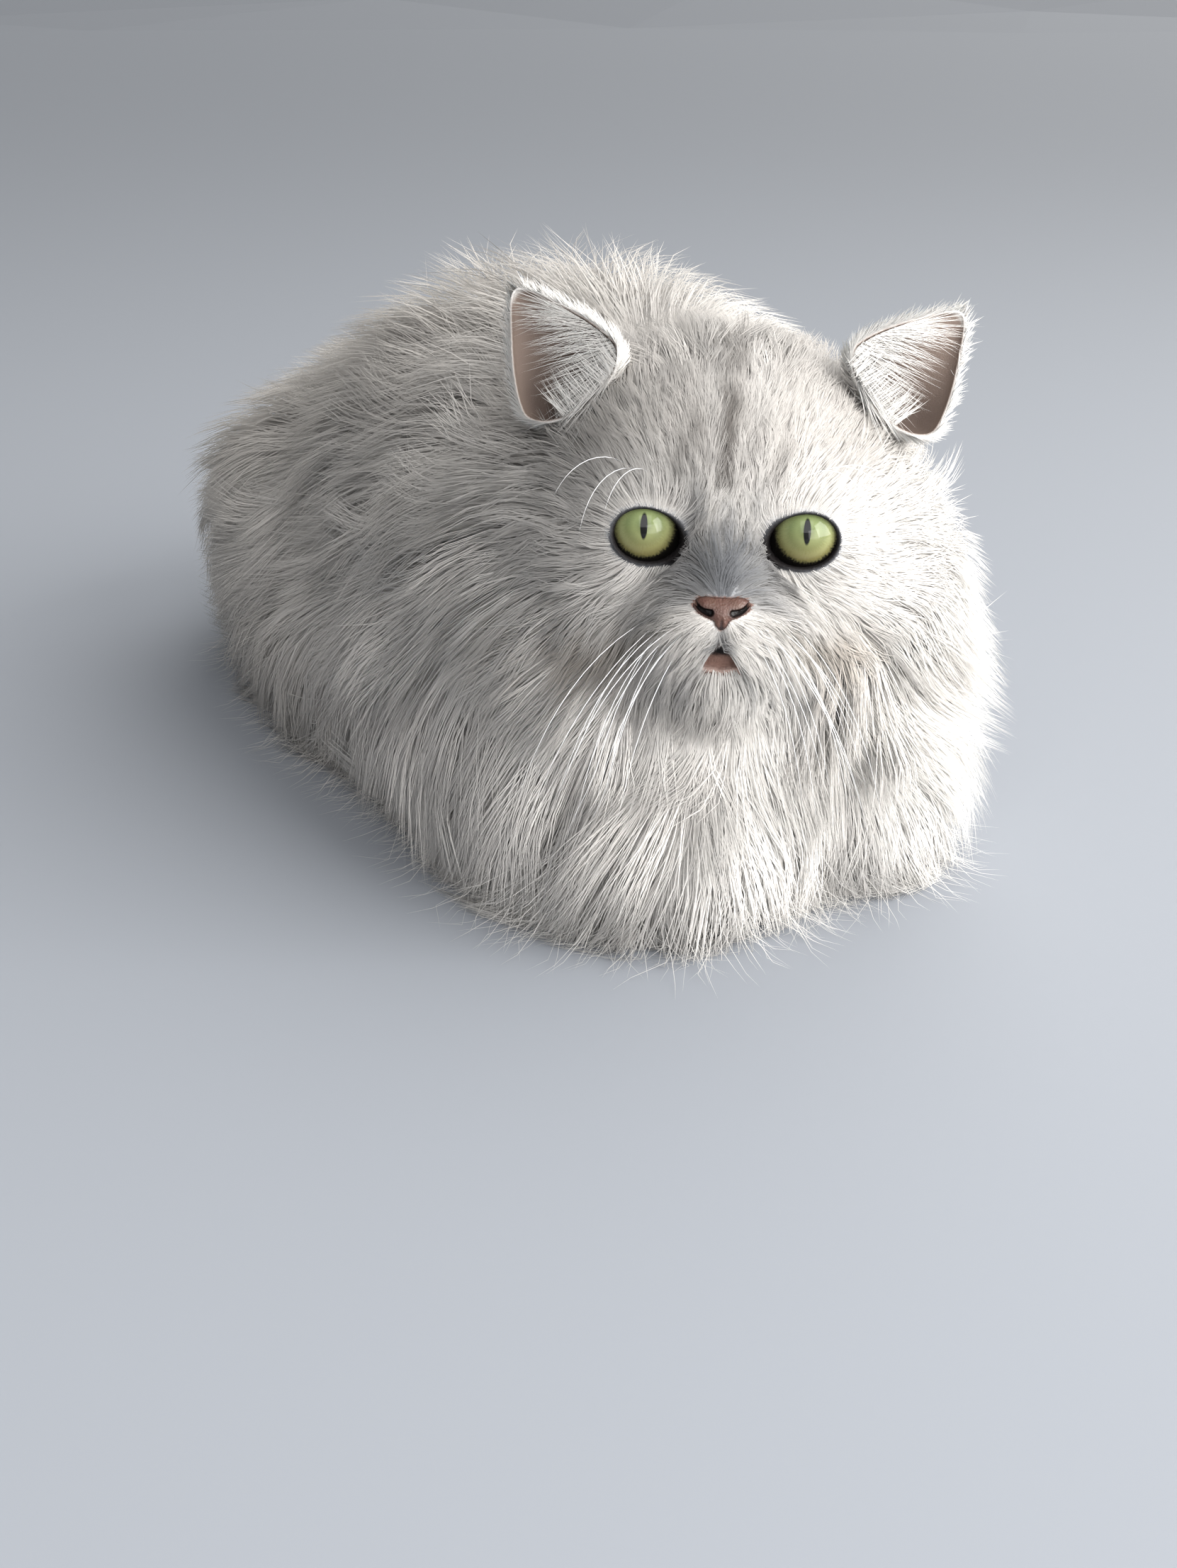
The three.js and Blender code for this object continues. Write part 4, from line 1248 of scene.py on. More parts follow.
@dataclass
class NoseLeather:
    """The pink leather of the nose with its comma nostrils, laid on the skin."""

    skin: Skin
    fineness: int = 7
    root: float = -30.0
    behind: float = -15.0
    far: float = 36.0
    overlap: float = 1.06
    tuck: float = 0.9
    wing: float = 0.7
    tip: float = 0.5
    hole: float = 2.3
    crease: float = 0.55

    def build(self) -> Object:
        """The nose.

        Returns:
            The piece.
        """
        shape = ball(self.fineness)
        directions = directions_of(shape)
        spread = np.hypot(directions[:, 0], directions[:, 2])
        share = np.arcsin(np.clip(spread, 0.0, 1.0)) / (math.pi / 2.0)
        angle = np.degrees(np.arctan2(directions[:, 2], np.abs(directions[:, 0])))
        reach = np.interp(angle, NOSE.angles, NOSE.reach) * self.overlap * share
        way = directions[:, (0, 2)] / np.maximum(spread, TINY)[:, None]
        x = reach * way[:, 0]
        z = reach * way[:, 1]
        starts = np.stack([x, np.full(len(x), self.behind), z + NOSE.z], axis=1)
        ahead = np.tile(AHEAD, (len(x), 1))
        y = draw_out(starts, ahead, self.skin.head_level, self.far)[:, 1]
        y = y - NOSE.proud * (1.0 - share**3) + self.tuck * smoothstep(share, 0.86, 1.0)
        y = y - self.wing * hill(np.abs(x) - 5.2, 1.8) * hill(z - 2.6, 1.5)
        y = y - self.tip * hill(x, 1.9) * hill(z + 0.8, 2.6)
        y = y + self.hole * (1.0 - smoothstep(nostril_measure(x, z), 0.5, 1.15))
        y = y + self.crease * hill(x, 0.4) * (1.0 - smoothstep(z, -2.6, -0.5))
        y = np.where(directions[:, 1] < 0, y, self.root)
        colours = self.colours(x, z)
        reshape(shape, self.skin.body.pose.to_cat(np.stack([x, y, z + NOSE.z], axis=1)))
        mesh = finish_shape(shape, "nose_leather")
        mark(mesh, colours)
        nose = new_piece(mesh, "nose_leather", LeatherFinish().material())
        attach(nose, BODY)
        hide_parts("nose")
        return nose

    def colours(self, x: Array, z: Array) -> Array:
        """Pink with a dark rim above, the nostrils painted near black as painted shade in their holes, and a
        dark middle line below painted as shade in the crease.

        Args:
            x: Places across, from the middle.
            z: Places up, from the middle.

        Returns:
            One linear colour a vertex.
        """
        finish = LeatherFinish()
        pink = np.tile(np.array(finish.colour), (len(x), 1))
        dark = np.array(finish.dark)
        pink = blend(pink, dark, smoothstep(nose_measure(x, z), 0.88, 1.05) * 0.55)
        # painted shade: the nostrils' edges darkened and their slits drawn near black, for the shade in the
        # holes
        hole = nostril_measure(x, z)
        pink = blend(pink, dark, 0.5 * (1.0 - smoothstep(hole, 0.9, 1.9)))
        pink = blend(pink, dark * 0.2, 1.0 - smoothstep(hole, 0.7, 1.2))
        # painted shade: a dark middle line below, drawn in the leather's crease
        middle = hill(x, 0.35) * (1.0 - smoothstep(z, -2.6, -1.0))
        tip = smoothstep(-z, 3.0, 4.4)
        return blend(pink, dark, np.clip(0.75 * middle + 0.6 * tip, 0.0, 1.0))


@dataclass(frozen=True)
class EarSizes:
    """One ear's form, in the head's frame."""

    x: float = 47.0
    y: float = -6.0
    z: float = 41.0
    lean: float = 36.5
    turn: float = 14.0
    tilt: float = -6.0
    width: float = 17.5
    depth: float = 10.0
    height: float = 28.5
    root: float = 10.0
    taper: float = 0.42
    curve: float = 1.25
    point: float = 0.12
    wall: float = 0.8
    open_at: float = -0.12
    left_lean: float = 6.0
    left_height: float = 0.94


EAR = EarSizes()


@dataclass
class Ears:
    """Two thin cups, open to the front."""

    pose: HeadPose
    fineness: int = 6

    def matrix(self, side: float) -> Array:
        """The rotation from the ear's own frame to the head's, for one side."""
        lean = EAR.lean + (EAR.left_lean if side > 0 else 0.0)
        return turned((("Z", side * EAR.turn), ("Y", side * lean), ("X", EAR.tilt)))

    def to_cat(self, local: Array, side: float) -> Array:
        """Places of one ear's own frame in the cat's frame.

        Args:
            local: Places in the ear's own frame.
            side: One for the left ear, minus one for the right.

        Returns:
            The places in the cat's frame.
        """
        tall = EAR.left_height if side > 0 else 1.0
        head = (local * (1.0, 1.0, tall)) @ self.matrix(side).T + np.array((side * EAR.x, EAR.y, EAR.z))
        return self.pose.to_cat(head)

    def form(self, directions: Array) -> Array:
        """The ear's outer form from ball directions, in the ear's own frame.

        Args:
            directions: Directions of a ball's vertices.

        Returns:
            Places in the ear's own frame.
        """
        height = directions[:, 2]
        taper = 1.0 - EAR.taper * np.maximum(0.0, height) ** EAR.curve
        tall = np.where(height > 0, EAR.height, EAR.root)
        pointed = height + EAR.point * np.maximum(0.0, height) ** 6
        return np.stack([directions[:, 0] * EAR.width * taper,
                         directions[:, 1] * EAR.depth * taper,
                         pointed * tall], axis=1)

    def build(self) -> list[Object]:
        """Both ears as thin cups.

        Returns:
            The two pieces.
        """
        finish = CoatFinish(name="ear_skin", roughness=0.7, specular=0.3, glow=0.25,
                            grain=2500.0, grain_depth=0.0002)
        material = finish.material()
        made = []
        for side, word in SIDES:
            shape = ball(self.fineness)
            front = [v for v in shape.verts if v.co.y < EAR.open_at]
            bmesh.ops.delete(shape, geom=front, context="VERTS")
            reshape(shape, self.form(directions_of(shape)))
            bmesh.ops.recalc_face_normals(shape, faces=shape.faces)
            bmesh.ops.solidify(shape, geom=shape.faces[:], thickness=EAR.wall * MM)
            places = np.array([v.co[:] for v in shape.verts]) / MM
            colours = self.colours(places)
            reshape(shape, self.to_cat(places, side))
            mesh = finish_shape(shape, f"ear_cup_{word}")
            mark(mesh, colours)
            ear = new_piece(mesh, f"ear_cup_{word}", material)
            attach(ear, BODY)
            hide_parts(f"ear_{word}")
            made.append(ear)
        return made

    def colours(self, places: Array) -> Array:
        """Pinkish brown inside, darker deep in the cup as painted shade, white fur outside.

        Args:
            places: Places in the ear's own frame.

        Returns:
            One linear colour a vertex.
        """
        inside = np.array((0.27, 0.205, 0.17))
        # painted shade: the dark colour drawn deep in the cup's hollow
        deep = np.array((0.08, 0.055, 0.045))
        white = MARKINGS.WHITE * 0.9
        colours = np.tile(inside, (len(places), 1))
        # painted shade: darker towards the back and foot of the cup, where its hollow lies
        depth = smoothstep(places[:, 1], -1.0, 6.0) * (1.0 - smoothstep(places[:, 2], 2.0, 22.0))
        colours = blend(colours, deep, 0.75 * depth)
        steps = np.linspace(0.0, 1.0, 60)
        level = np.interp(places[:, 2] / EAR.height, steps + EAR.point * steps**6, steps)
        level = np.where(places[:, 2] > 0, level, np.maximum(places[:, 2] / EAR.root, -1.0))
        taper = 1.0 - EAR.taper * np.maximum(level, 0.0) ** EAR.curve
        round_share = np.hypot(places[:, 0] / EAR.width, places[:, 1] / EAR.depth) / taper
        outside = smoothstep(np.hypot(round_share, level), 0.965, 0.985)
        return blend(colours, white, outside)


@dataclass
class Hairs:
    """Many tapered hairs: middle lines, outward ways, widths and colours along them."""

    lines: Array
    outward: Array
    width: Array
    colours: Array
    places: Array


@dataclass(frozen=True)
class HairMesher:
    """Turns hairs into one mesh of closed, three-sided, tapered tufts."""

    root_share: float = 0.7
    belly: float = 1.1
    softness: float = 0.96
    skyward: float = 0.32
    patch: float = 0.003

    def profile(self, rings: int) -> Array:
        """The share of full width at each ring but the tip.

        Args:
            rings: How many rings a hair has before its tip.

        Returns:
            One share a ring.
        """
        share = np.arange(rings) / rings
        swell = self.root_share + self.belly * share - (self.root_share + self.belly - 0.35) * share**2
        return np.minimum(swell, 1.0) * (1.0 - share**3)

    def build(self, hairs: Hairs, name: str, material: Material) -> Object:
        """The mesh and its object.

        Args:
            hairs: The hairs, in millimetres.
            name: The piece's name.
            material: Its finish.

        Returns:
            The piece.
        """
        count, knots = hairs.lines.shape[:2]
        rings = knots - 1
        tangent = unit(np.gradient(hairs.lines, axis=1))
        side = unit(np.cross(tangent, hairs.outward))
        up = np.cross(tangent, side)
        facing = unit(hairs.outward + np.array((0.0, 0.0, self.skyward)))
        angles = np.radians((270.0, 30.0, 150.0))
        width = (hairs.width[:, None] * self.profile(rings))[..., None] / 2.0
        corners = []
        normals = []
        for angle in angles:
            way = side[:, :rings] * math.cos(angle) + up[:, :rings] * math.sin(angle)
            corners.append(hairs.lines[:, :rings] + way * width)
            normals.append(unit(way * (1.0 - self.softness) + facing[:, :rings] * self.softness))
        body = np.stack(corners, axis=2).reshape(count, rings * 3, 3)
        shade = np.stack(normals, axis=2).reshape(count, rings * 3, 3)
        places = np.concatenate([body, hairs.lines[:, rings:]], axis=1)
        shade = np.concatenate([shade, facing[:, rings:]], axis=1)
        faces, patch = self.template(rings)
        stride = rings * 3 + 1
        whole = (faces[None] + (np.arange(count) * stride)[:, None, None]).reshape(-1, 3)
        mesh = mesh_of(name, places.reshape(-1, 3), whole)
        tint = np.repeat(hairs.colours[:, :rings], 3, axis=1)
        tint = np.concatenate([tint, hairs.colours[:, rings:]], axis=1)
        mark(mesh, tint.reshape(-1, 3))
        uv = hairs.places[:, None, None, :] + (patch[None] - 0.5) * self.patch
        layer = mesh.uv_layers.new(name="OFBake")
        layer.data.foreach_set("uv", uv.astype(np.float32).ravel())
        mesh.normals_split_custom_set_from_vertices(shade.reshape(-1, 3).astype(np.float32))
        piece = new_piece(mesh, name, material)
        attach(piece, BODY)
        return piece

    def template(self, rings: int) -> tuple[Array, Array]:
        """One hair's triangles and the place of each corner on its patch.

        Args:
            rings: How many rings it has before its tip.

        Returns:
            Vertex numbers and patch places, three a triangle.
        """
        faces = [(2, 1, 0)]
        patch = [((0.0, 0.0), (0.5, 0.0), (1.0, 0.0))]
        for ring in range(rings):
            low = ring / rings
            high = (ring + 1) / rings
            for turn in range(3):
                a = 3 * ring + turn
                b = 3 * ring + (turn + 1) % 3
                left = turn / 3.0
                right = (turn + 1) / 3.0
                if ring == rings - 1:
                    faces.append((a, b, 3 * rings))
                    patch.append(((left, low), (right, low), ((left + right) / 2.0, 1.0)))
                    continue
                faces += [(a, b, b + 3), (a, b + 3, a + 3)]
                patch += [((left, low), (right, low), (right, high)),
                          ((left, low), (right, high), (left, high))]
        return np.array(faces), np.array(patch)


class Region(Enum):
    """Where a hair grows."""

    NONE = 0
    FACE = 1
    CROWN = 2
    CHEEKS = 3
    BIB = 4
    BACK = 5
    FLANK_RIGHT = 6
    FLANK_LEFT = 7
    HAUNCH_RIGHT = 8
    HAUNCH_LEFT = 9


@dataclass(frozen=True)
class CoatPart:
    """How one region's coat is grown.

    A hair is as long as base plus reach times the coat's depth, both in millimetres.
    """

    name: str
    region: Region
    count: int
    rings: int
    width: float
    tuft: int
    clump: float
    base: float = 4.0
    reach: float = 1.7
    tip: float = 0.95
    rise: float = 0.8
    sway: float = 0.15
    lock_sway: float = 0.17
    tuft_sway: float = 0.10
    ragged: float = 0.09
    wave: float = 1.0
    loose: float = 0.12
    seed: int = 1


COAT_PARTS = (
    CoatPart("fur_face", Region.FACE, 18000, 2, 0.24, 8, 0.5, base=2.8, reach=1.1, wave=0.2,
             lock_sway=0.08, tuft_sway=0.12, ragged=0.10, seed=11),
    CoatPart("fur_crown", Region.CROWN, 8000, 3, 0.33, 9, 0.5, base=3.0, reach=1.3, wave=0.5,
             lock_sway=0.12, tuft_sway=0.16, seed=12),
    CoatPart("fur_cheeks", Region.CHEEKS, 12000, 3, 0.36, 11, 0.5, reach=1.1, tip=1.04, loose=0.14,
             seed=13),
    CoatPart("fur_bib", Region.BIB, 12000, 3, 0.38, 13, 0.45, tip=0.93, lock_sway=0.15,
             loose=0.14, seed=14),
    CoatPart("fur_back", Region.BACK, 8800, 3, 0.45, 13, 0.55, loose=0.2, seed=15),
    CoatPart("fur_flank_right", Region.FLANK_RIGHT, 11000, 3, 0.41, 13, 0.55, loose=0.2, seed=16),
    CoatPart("fur_flank_left", Region.FLANK_LEFT, 6800, 3, 0.55, 14, 0.6, reach=1.5, tip=0.82,
             seed=17),
    CoatPart("fur_haunch_right", Region.HAUNCH_RIGHT, 6600, 3, 0.42, 13, 0.55, tip=0.84, loose=0.2,
             seed=18),
    CoatPart("fur_haunch_left", Region.HAUNCH_LEFT, 4200, 3, 0.60, 14, 0.7, seed=19),
)


def fill_square(flat: Array) -> Array:
    """Stretches flat places to the unit square with a small rim.

    Args:
        flat: Two numbers a place.

    Returns:
        Two numbers a place, from 0 to 1.
    """
    low = flat.min(axis=0)
    span = np.maximum(flat.max(axis=0) - low, TINY)
    return 0.01 + 0.98 * (flat - low) / span


@dataclass(frozen=True)
class RegionEdges:
    """Where one region of the coat ends and the next begins."""

    back_rise: float = 0.62
    back_front: float = -120.0
    flank_middle: float = -2.0
    haunch_front: float = 48.0
    bib_back: float = -118.0
    head: float = 0.5
    face_coat: float = 8.5
    face_back: float = 4.0
    crown_low: float = 12.0
    eye_rim: float = 1.06
    nose_rim: float = 0.93
    gape: float = 0.1
    under: float = 5.0


@dataclass
class Bunches:
    """For each hair its bunch's number and leading hair, and how many bunches there are."""

    own: Array
    leader: Array
    count: int


@dataclass
class Coat:
    """The long coat: hairs grown over the skin along the lie of the fur."""

    body: CatBody
    fall: float = 0.55
    head_fall: float = 0.22
    cheek_fall: float = 0.45
    lock: int = 110
    longest: float = 1.14
    puff: float = 0.42
    chin_light: float = 1.1
    crests: tuple[tuple[Triple, float, float], ...] = (
        ((-12.0, -52.0, 165.0), 42.0, 13.0),
        ((-52.0, 98.0, 96.0), 20.0, 10.0),
    )
    haunch_lie: Triple = (-0.9, 0.35, 0.75)
    eye_parting: tuple[float, float] = (12.0, 1.6)
    mouth_parting: tuple[float, float] = (6.0, 2.4)
    floor: float = 0.9
    chunk: int = 24000
    edges: RegionEdges = RegionEdges()
    finish: CoatFinish = field(default_factory=lambda: CoatFinish(glow=0.4))
    mesher: HairMesher = field(default_factory=HairMesher)

    def read(self, points: Array) -> Reading:
        """The flesh at many places, read a part at a time.

        Args:
            points: Places in the cat's frame.

        Returns:
            The reading at each place.
        """
        parts = [self.body.read(points[at : at + self.chunk]) for at in range(0, len(points), self.chunk)]
        return Reading(np.concatenate([part.distance for part in parts]),
                       np.concatenate([part.coat for part in parts]),
                       np.concatenate([part.outward for part in parts]))

    def regions(self, centres: Array, reading: Reading) -> Array:
        """The region that each place of the skin belongs to.

        Args:
            centres: Places in the cat's frame.
            reading: The flesh there.

        Returns:
            A region's number a place.
        """
        head = self.body.pose.to_head(centres)
        share = self.body.head_share(centres)
        x = centres[:, 0]
        y = centres[:, 1]
        edges = self.edges
        back = (reading.outward[:, 2] > edges.back_rise) & (y > edges.back_front)
        place = np.where(x < edges.flank_middle, Region.FLANK_RIGHT.value, Region.FLANK_LEFT.value)
        haunch = (y > edges.haunch_front) & ~back
        place = np.where(haunch & (x < 0), Region.HAUNCH_RIGHT.value, place)
        place = np.where(haunch & (x >= 0), Region.HAUNCH_LEFT.value, place)
        place = np.where(back, Region.BACK.value, place)
        place = np.where((y < edges.bib_back) & ~back, Region.BIB.value, place)
        on_head = share > edges.head
        face = on_head & (reading.coat < edges.face_coat) & (head[:, 1] < edges.face_back)
        crown = on_head & ~face & (head[:, 2] > edges.crown_low)
        place = np.where(on_head, Region.CHEEKS.value, place)
        place = np.where(crown, Region.CROWN.value, place)
        place = np.where(face, Region.FACE.value, place)
        nose = nose_measure(head[:, 0], head[:, 2] - NOSE.z)
        bare = (eye_rim(head) < edges.eye_rim) & (head[:, 1] < -12) & on_head
        bare |= (nose < edges.nose_rim) & on_head & (head[:, 1] < -20)
        bare |= (gape_measure(head) > edges.gape) & on_head & (head[:, 1] < -15)
        bare |= (centres[:, 2] < edges.under) & (reading.outward[:, 2] < -0.5)
        return np.where(bare, Region.NONE.value, place)

    def lie(self, points: Array, reading: Reading, share: float) -> Array:
        """The way the coat lies at places: away from the nose, falling, and round the eyes.

        Args:
            points: Places in the cat's frame.
            reading: The flesh there.
            share: How far along the hair they are.

        Returns:
            Directions along the skin.
        """
        nose = self.body.pose.to_cat(np.array([(0.0, NOSE.y - NOSE.depth, NOSE.z)]))
        on_head = self.body.head_share(points)
        way = unit(points - nose)
        fall = self.fall * (1.0 + 0.6 * share)
        head = self.body.pose.to_head(points)
        breast = smoothstep(-points[:, 1], 85.0, 135.0) * (1.0 - on_head)
        way *= (1.0 - 0.55 * breast)[:, None]
        fall = fall * (1.0 + 1.1 * breast)
        flare = smoothstep(points[:, 1], 52.0, 82.0) * smoothstep(-points[:, 0], 8.0, 30.0)
        flare *= smoothstep(points[:, 2], 40.0, 80.0)
        way += np.array(self.haunch_lie) * flare[:, None]
        head_fall = self.head_fall + self.cheek_fall * smoothstep(-head[:, 2], 0.0, 30.0)
        way[:, 2] -= fall + (head_fall - fall) * on_head
        front = (head[:, 1] < 0.0) * on_head
        partings = ((EYE.x, EYE.z, self.eye_parting), (-EYE.x, EYE.z, self.eye_parting),
                    (0.0, MOUTH.top - 4.5, self.mouth_parting))
        for x, z, (spread, most) in partings:
            offset = head - np.array((x, 0.0, z))
            offset[:, 1] = 0.0
            strength = hill(np.linalg.norm(offset, axis=1), spread) * front * most
            way += self.body.pose.turn_to_cat(unit(offset)) * strength[:, None]
        way -= reading.outward * (way * reading.outward).sum(axis=1, keepdims=True)
        return unit(way)

    def bunch(self, roots: Array, size: int, draw: Chance) -> Bunches:
        """Puts hairs that grow close together into bunches.

        Args:
            roots: Where the hairs grow.
            size: How many hairs a bunch has, about.
            draw: The seeded source of chance.

        Returns:
            Each hair's bunch and leading hair.
        """
        leaders = draw.permutation(len(roots))[: max(1, len(roots) // size)]
        tree = KDTree(len(leaders))
        for number, leader in enumerate(leaders):
            tree.insert(roots[leader], number)
        tree.balance()
        own = np.array([tree.find(root)[1] for root in roots])
        return Bunches(own, leaders[own], len(leaders))

    def grow(self, roots: Array, part: CoatPart, tufts: Bunches,
             draw: Chance) -> tuple[Array, Array]:
        """Grows hairs from their roots, each along the lie and out to the tips.

        Args:
            roots: Places on the skin.
            part: The region's sizes.
            tufts: The tuft that each hair belongs to.
            draw: The seeded source of chance.

        Returns:
            The hairs' middle lines and the outward way along them.
        """
        count = len(roots)
        start = self.read(roots)
        coat = start.coat
        head = self.body.pose.to_head(roots)
        lip = hill(np.hypot(head[:, 0] / 1.6, head[:, 2] - MOUTH.top + 3.0), 5.0)
        lip *= (head[:, 1] < -20) * (part.region is Region.FACE)
        chin = hill(head[:, 2] + 50.0, 9.0) * hill(head[:, 0], 15.0) * (head[:, 1] < 0)
        locks = self.bunch(roots, self.lock, draw)
        tall = draw.normal(1.0, part.ragged, tufts.count).clip(0.6, 1.12)[tufts.own]
        tall *= draw.uniform(0.82, 1.09, locks.count)[locks.own]
        length = (part.base + part.reach * coat) * draw.uniform(0.8, 1.15, count) * (1.0 - 0.7 * lip)
        length *= (0.5 + 0.5 * tall) * (1.0 + 1.1 * chin)
        wild = draw.random(count) < part.loose
        lift = 3.0 * chin
        for place, spread, most in self.crests:
            away = np.linalg.norm(roots - np.array(place), axis=1)
            lift += most * hill(away, spread) * draw.uniform(0.2, 1.2, count)
        tall = tall * draw.normal(1.0, 0.035, count) * np.where(wild, 1.06, 1.0)
        tip = coat * part.tip * np.minimum(tall, self.longest) + lift
        swirl = 0.5 * np.sin(roots[:, 0] / 9.0 + 1.7 * np.sin(roots[:, 2] / 13.0))
        swirl += 0.5 * np.sin(roots[:, 1] / 11.0 + 1.3 * np.sin(roots[:, 0] / 17.0) + roots[:, 2] / 15.0)
        soft = smoothstep(coat, 3.0, 18.0)
        sway = part.sway * (1.4 * swirl * soft + draw.normal(0.0, 0.35, count))
        sway *= np.where(wild, 1.9, 1.0)
        sway += draw.normal(0.0, part.lock_sway, locks.count)[locks.own]
        sway += draw.normal(0.0, part.tuft_sway, tufts.count)[tufts.own]
        round_off = roots - roots[locks.leader]
        round_off *= (self.puff * soft / max(np.linalg.norm(round_off, axis=1).mean(), TINY))[:, None]
        round_off[:, 2] += self.chin_light * chin
        foot = skin_lift(coat)
        point = roots.copy()
        lines = [roots.copy()]
        outward = [unit(start.outward + round_off)]
        for ring in range(1, part.rings + 1):
            share = ring / part.rings
            reading = self.read(point)
            way = self.lie(point, reading, share)
            turn = (sway * (0.6 + share))[:, None]
            way = way * np.cos(turn) + np.cross(reading.outward, way) * np.sin(turn)
            point = point + way * (length / part.rings)[:, None]
            for _ in range(2):
                reading = self.read(point)
                base = start.distance + (foot - start.distance) * share
                height = base + (tip - foot) * share**part.rise
                point = point + reading.outward * (height - reading.distance)[:, None]
                point[:, 2] = np.maximum(point[:, 2], self.floor)
            lines.append(point.copy())
            outward.append(unit(reading.outward + round_off))
        return np.stack(lines, axis=1), np.stack(outward, axis=1)

    def gather(self, lines: Array, outward: Array, part: CoatPart, tufts: Bunches,
               draw: Chance) -> Array:
        """Draws hairs together into pointed tufts with a slight wave.

        Args:
            lines: The hairs' middle lines.
            outward: The outward way along them.
            part: The region's sizes.
            tufts: The tuft that each hair belongs to.
            draw: The seeded source of chance.

        Returns:
            The gathered lines.
        """
        count = len(lines)
        share = np.linspace(0.0, 1.0, part.rings + 1)
        pull = part.clump * draw.uniform(0.55, 1.0, count)
        pull *= np.where(draw.random(count) < part.loose, 0.25, 1.0)
        pull = pull[:, None] * share[None] ** 1.2
        gathered = blend(lines, lines[tufts.leader], pull)
        phase = draw.uniform(0.0, 2.0 * math.pi, tufts.count)[tufts.own]
        size = part.wave * draw.uniform(0.3, 1.4, tufts.count)[tufts.own]
        side = unit(np.cross(np.gradient(gathered, axis=1), outward))
        bend = np.sin(phase[:, None] + share[None] * 4.2) - np.sin(phase)[:, None]
        gathered = gathered + side * (bend * size[:, None] * share[None])[..., None]
        gathered[..., 2] = np.maximum(gathered[..., 2], self.floor * 0.8)
        return gathered

    def unwrap(self, points: Array, part: CoatPart) -> Array:
        """Places of the roots on a flat unwrap of the skin, each region filling the square.

        Args:
            points: Roots in the cat's frame.
            part: The region.

        Returns:
            Two numbers a root, from 0 to 1.
        """
        if part.region in (Region.FACE, Region.CROWN, Region.CHEEKS):
            way = unit(self.body.pose.to_head(points) - np.array((0.0, -10.0, -6.0)))
            way = way[:, (0, 2, 1)]
        else:
            spine = np.clip(points[:, 1], -122.0, 94.0)
            way = points - np.stack([np.full(len(points), -4.0), spine, np.full(len(points), 40.0)], axis=1)
            turn = np.arctan2(way[:, 0], way[:, 2])
            flat = np.stack([turn, (points[:, 1] + 0.4 * np.abs(way[:, 2])) * 0.01], axis=1)
            return fill_square(flat)
        flat = way[:, :2] / (np.abs(way).sum(axis=1, keepdims=True))
        behind = way[:, 2] > 0
        folded = (1.0 - np.abs(flat[:, ::-1])) * np.where(flat >= 0, 1.0, -1.0)
        flat = np.where(behind[:, None], folded, flat)
        return fill_square(flat)

    def colours(self, lines: Array, start: Reading, draw: Chance) -> Array:
        """The markings along each hair: its root's colour, greyer towards some tips, and a little darker
        towards the root as painted shade deep in the coat.

        Args:
            lines: The hairs' middle lines.
            start: The flesh at their roots.
            draw: The seeded source of chance.

        Returns:
            One linear colour a knot.
        """
        count, knots = lines.shape[:2]
        root = MARKINGS.coat(self.body, lines[:, 0], start.outward)
        tone = draw.normal(1.0, 0.018, (count, 1))
        root = np.clip(root * tone, 0.0, 0.96)
        share = np.linspace(0.0, 1.0, knots)
        long = smoothstep(start.coat, 6.0, 20.0)
        grey = (draw.random(count) < 0.16) * draw.uniform(0.1, 0.4, count) * long
        tipped = grey[:, None] * smoothstep(share, 0.45, 1.0)[None]
        base = np.repeat(root[:, None], knots, axis=1)
        # painted shade: each hair a little darker towards its root, deep in the coat
        root_painted_shade = 1.0 - 0.06 * (1.0 - share)[None, :, None]
        return blend(base * root_painted_shade, np.tile(MARKINGS.SILVER, (count, knots, 1)), tipped)

    def build(self, skin: Object) -> list[Object]:
        """Grows every region's coat over the skin.

        Args:
            skin: The finished skin.

        Returns:
            The pieces.
        """
        mesh = skin.data
        mesh.calc_loop_triangles()
        corners = np.empty(len(mesh.loop_triangles) * 3, np.int32)
        mesh.loop_triangles.foreach_get("vertices", corners)
        places = vertices_of(mesh)[corners.reshape(-1, 3)]
        centres = places.mean(axis=1)
        area = np.linalg.norm(np.cross(places[:, 1] - places[:, 0], places[:, 2] - places[:, 0]), axis=1)
        region = self.regions(centres, self.read(centres))
        material = self.finish.material()
        made = []
        for part in COAT_PARTS:
            draw = np.random.default_rng(part.seed)
            own = np.flatnonzero(region == part.region.value)
            chance = area[own] / area[own].sum()
            pick = own[draw.choice(len(own), part.count, p=chance)]
            a, b = draw.random((2, part.count))
            fold = a + b > 1.0
            a = np.where(fold, 1.0 - a, a)
            b = np.where(fold, 1.0 - b, b)
            corner = places[pick]
            roots = corner[:, 0] + (corner[:, 1] - corner[:, 0]) * a[:, None]
            roots += (corner[:, 2] - corner[:, 0]) * b[:, None]
            tufts = self.bunch(roots, part.tuft, draw)
            lines, outward = self.grow(roots, part, tufts, draw)
            lines = self.gather(lines, outward, part, tufts, draw)
            start = self.read(roots)
            width = part.width * draw.uniform(0.7, 1.25, part.count)
            hairs = Hairs(lines, outward, width, self.colours(lines, start, draw), self.unwrap(roots, part))
            made.append(self.mesher.build(hairs, part.name, material))
        return made


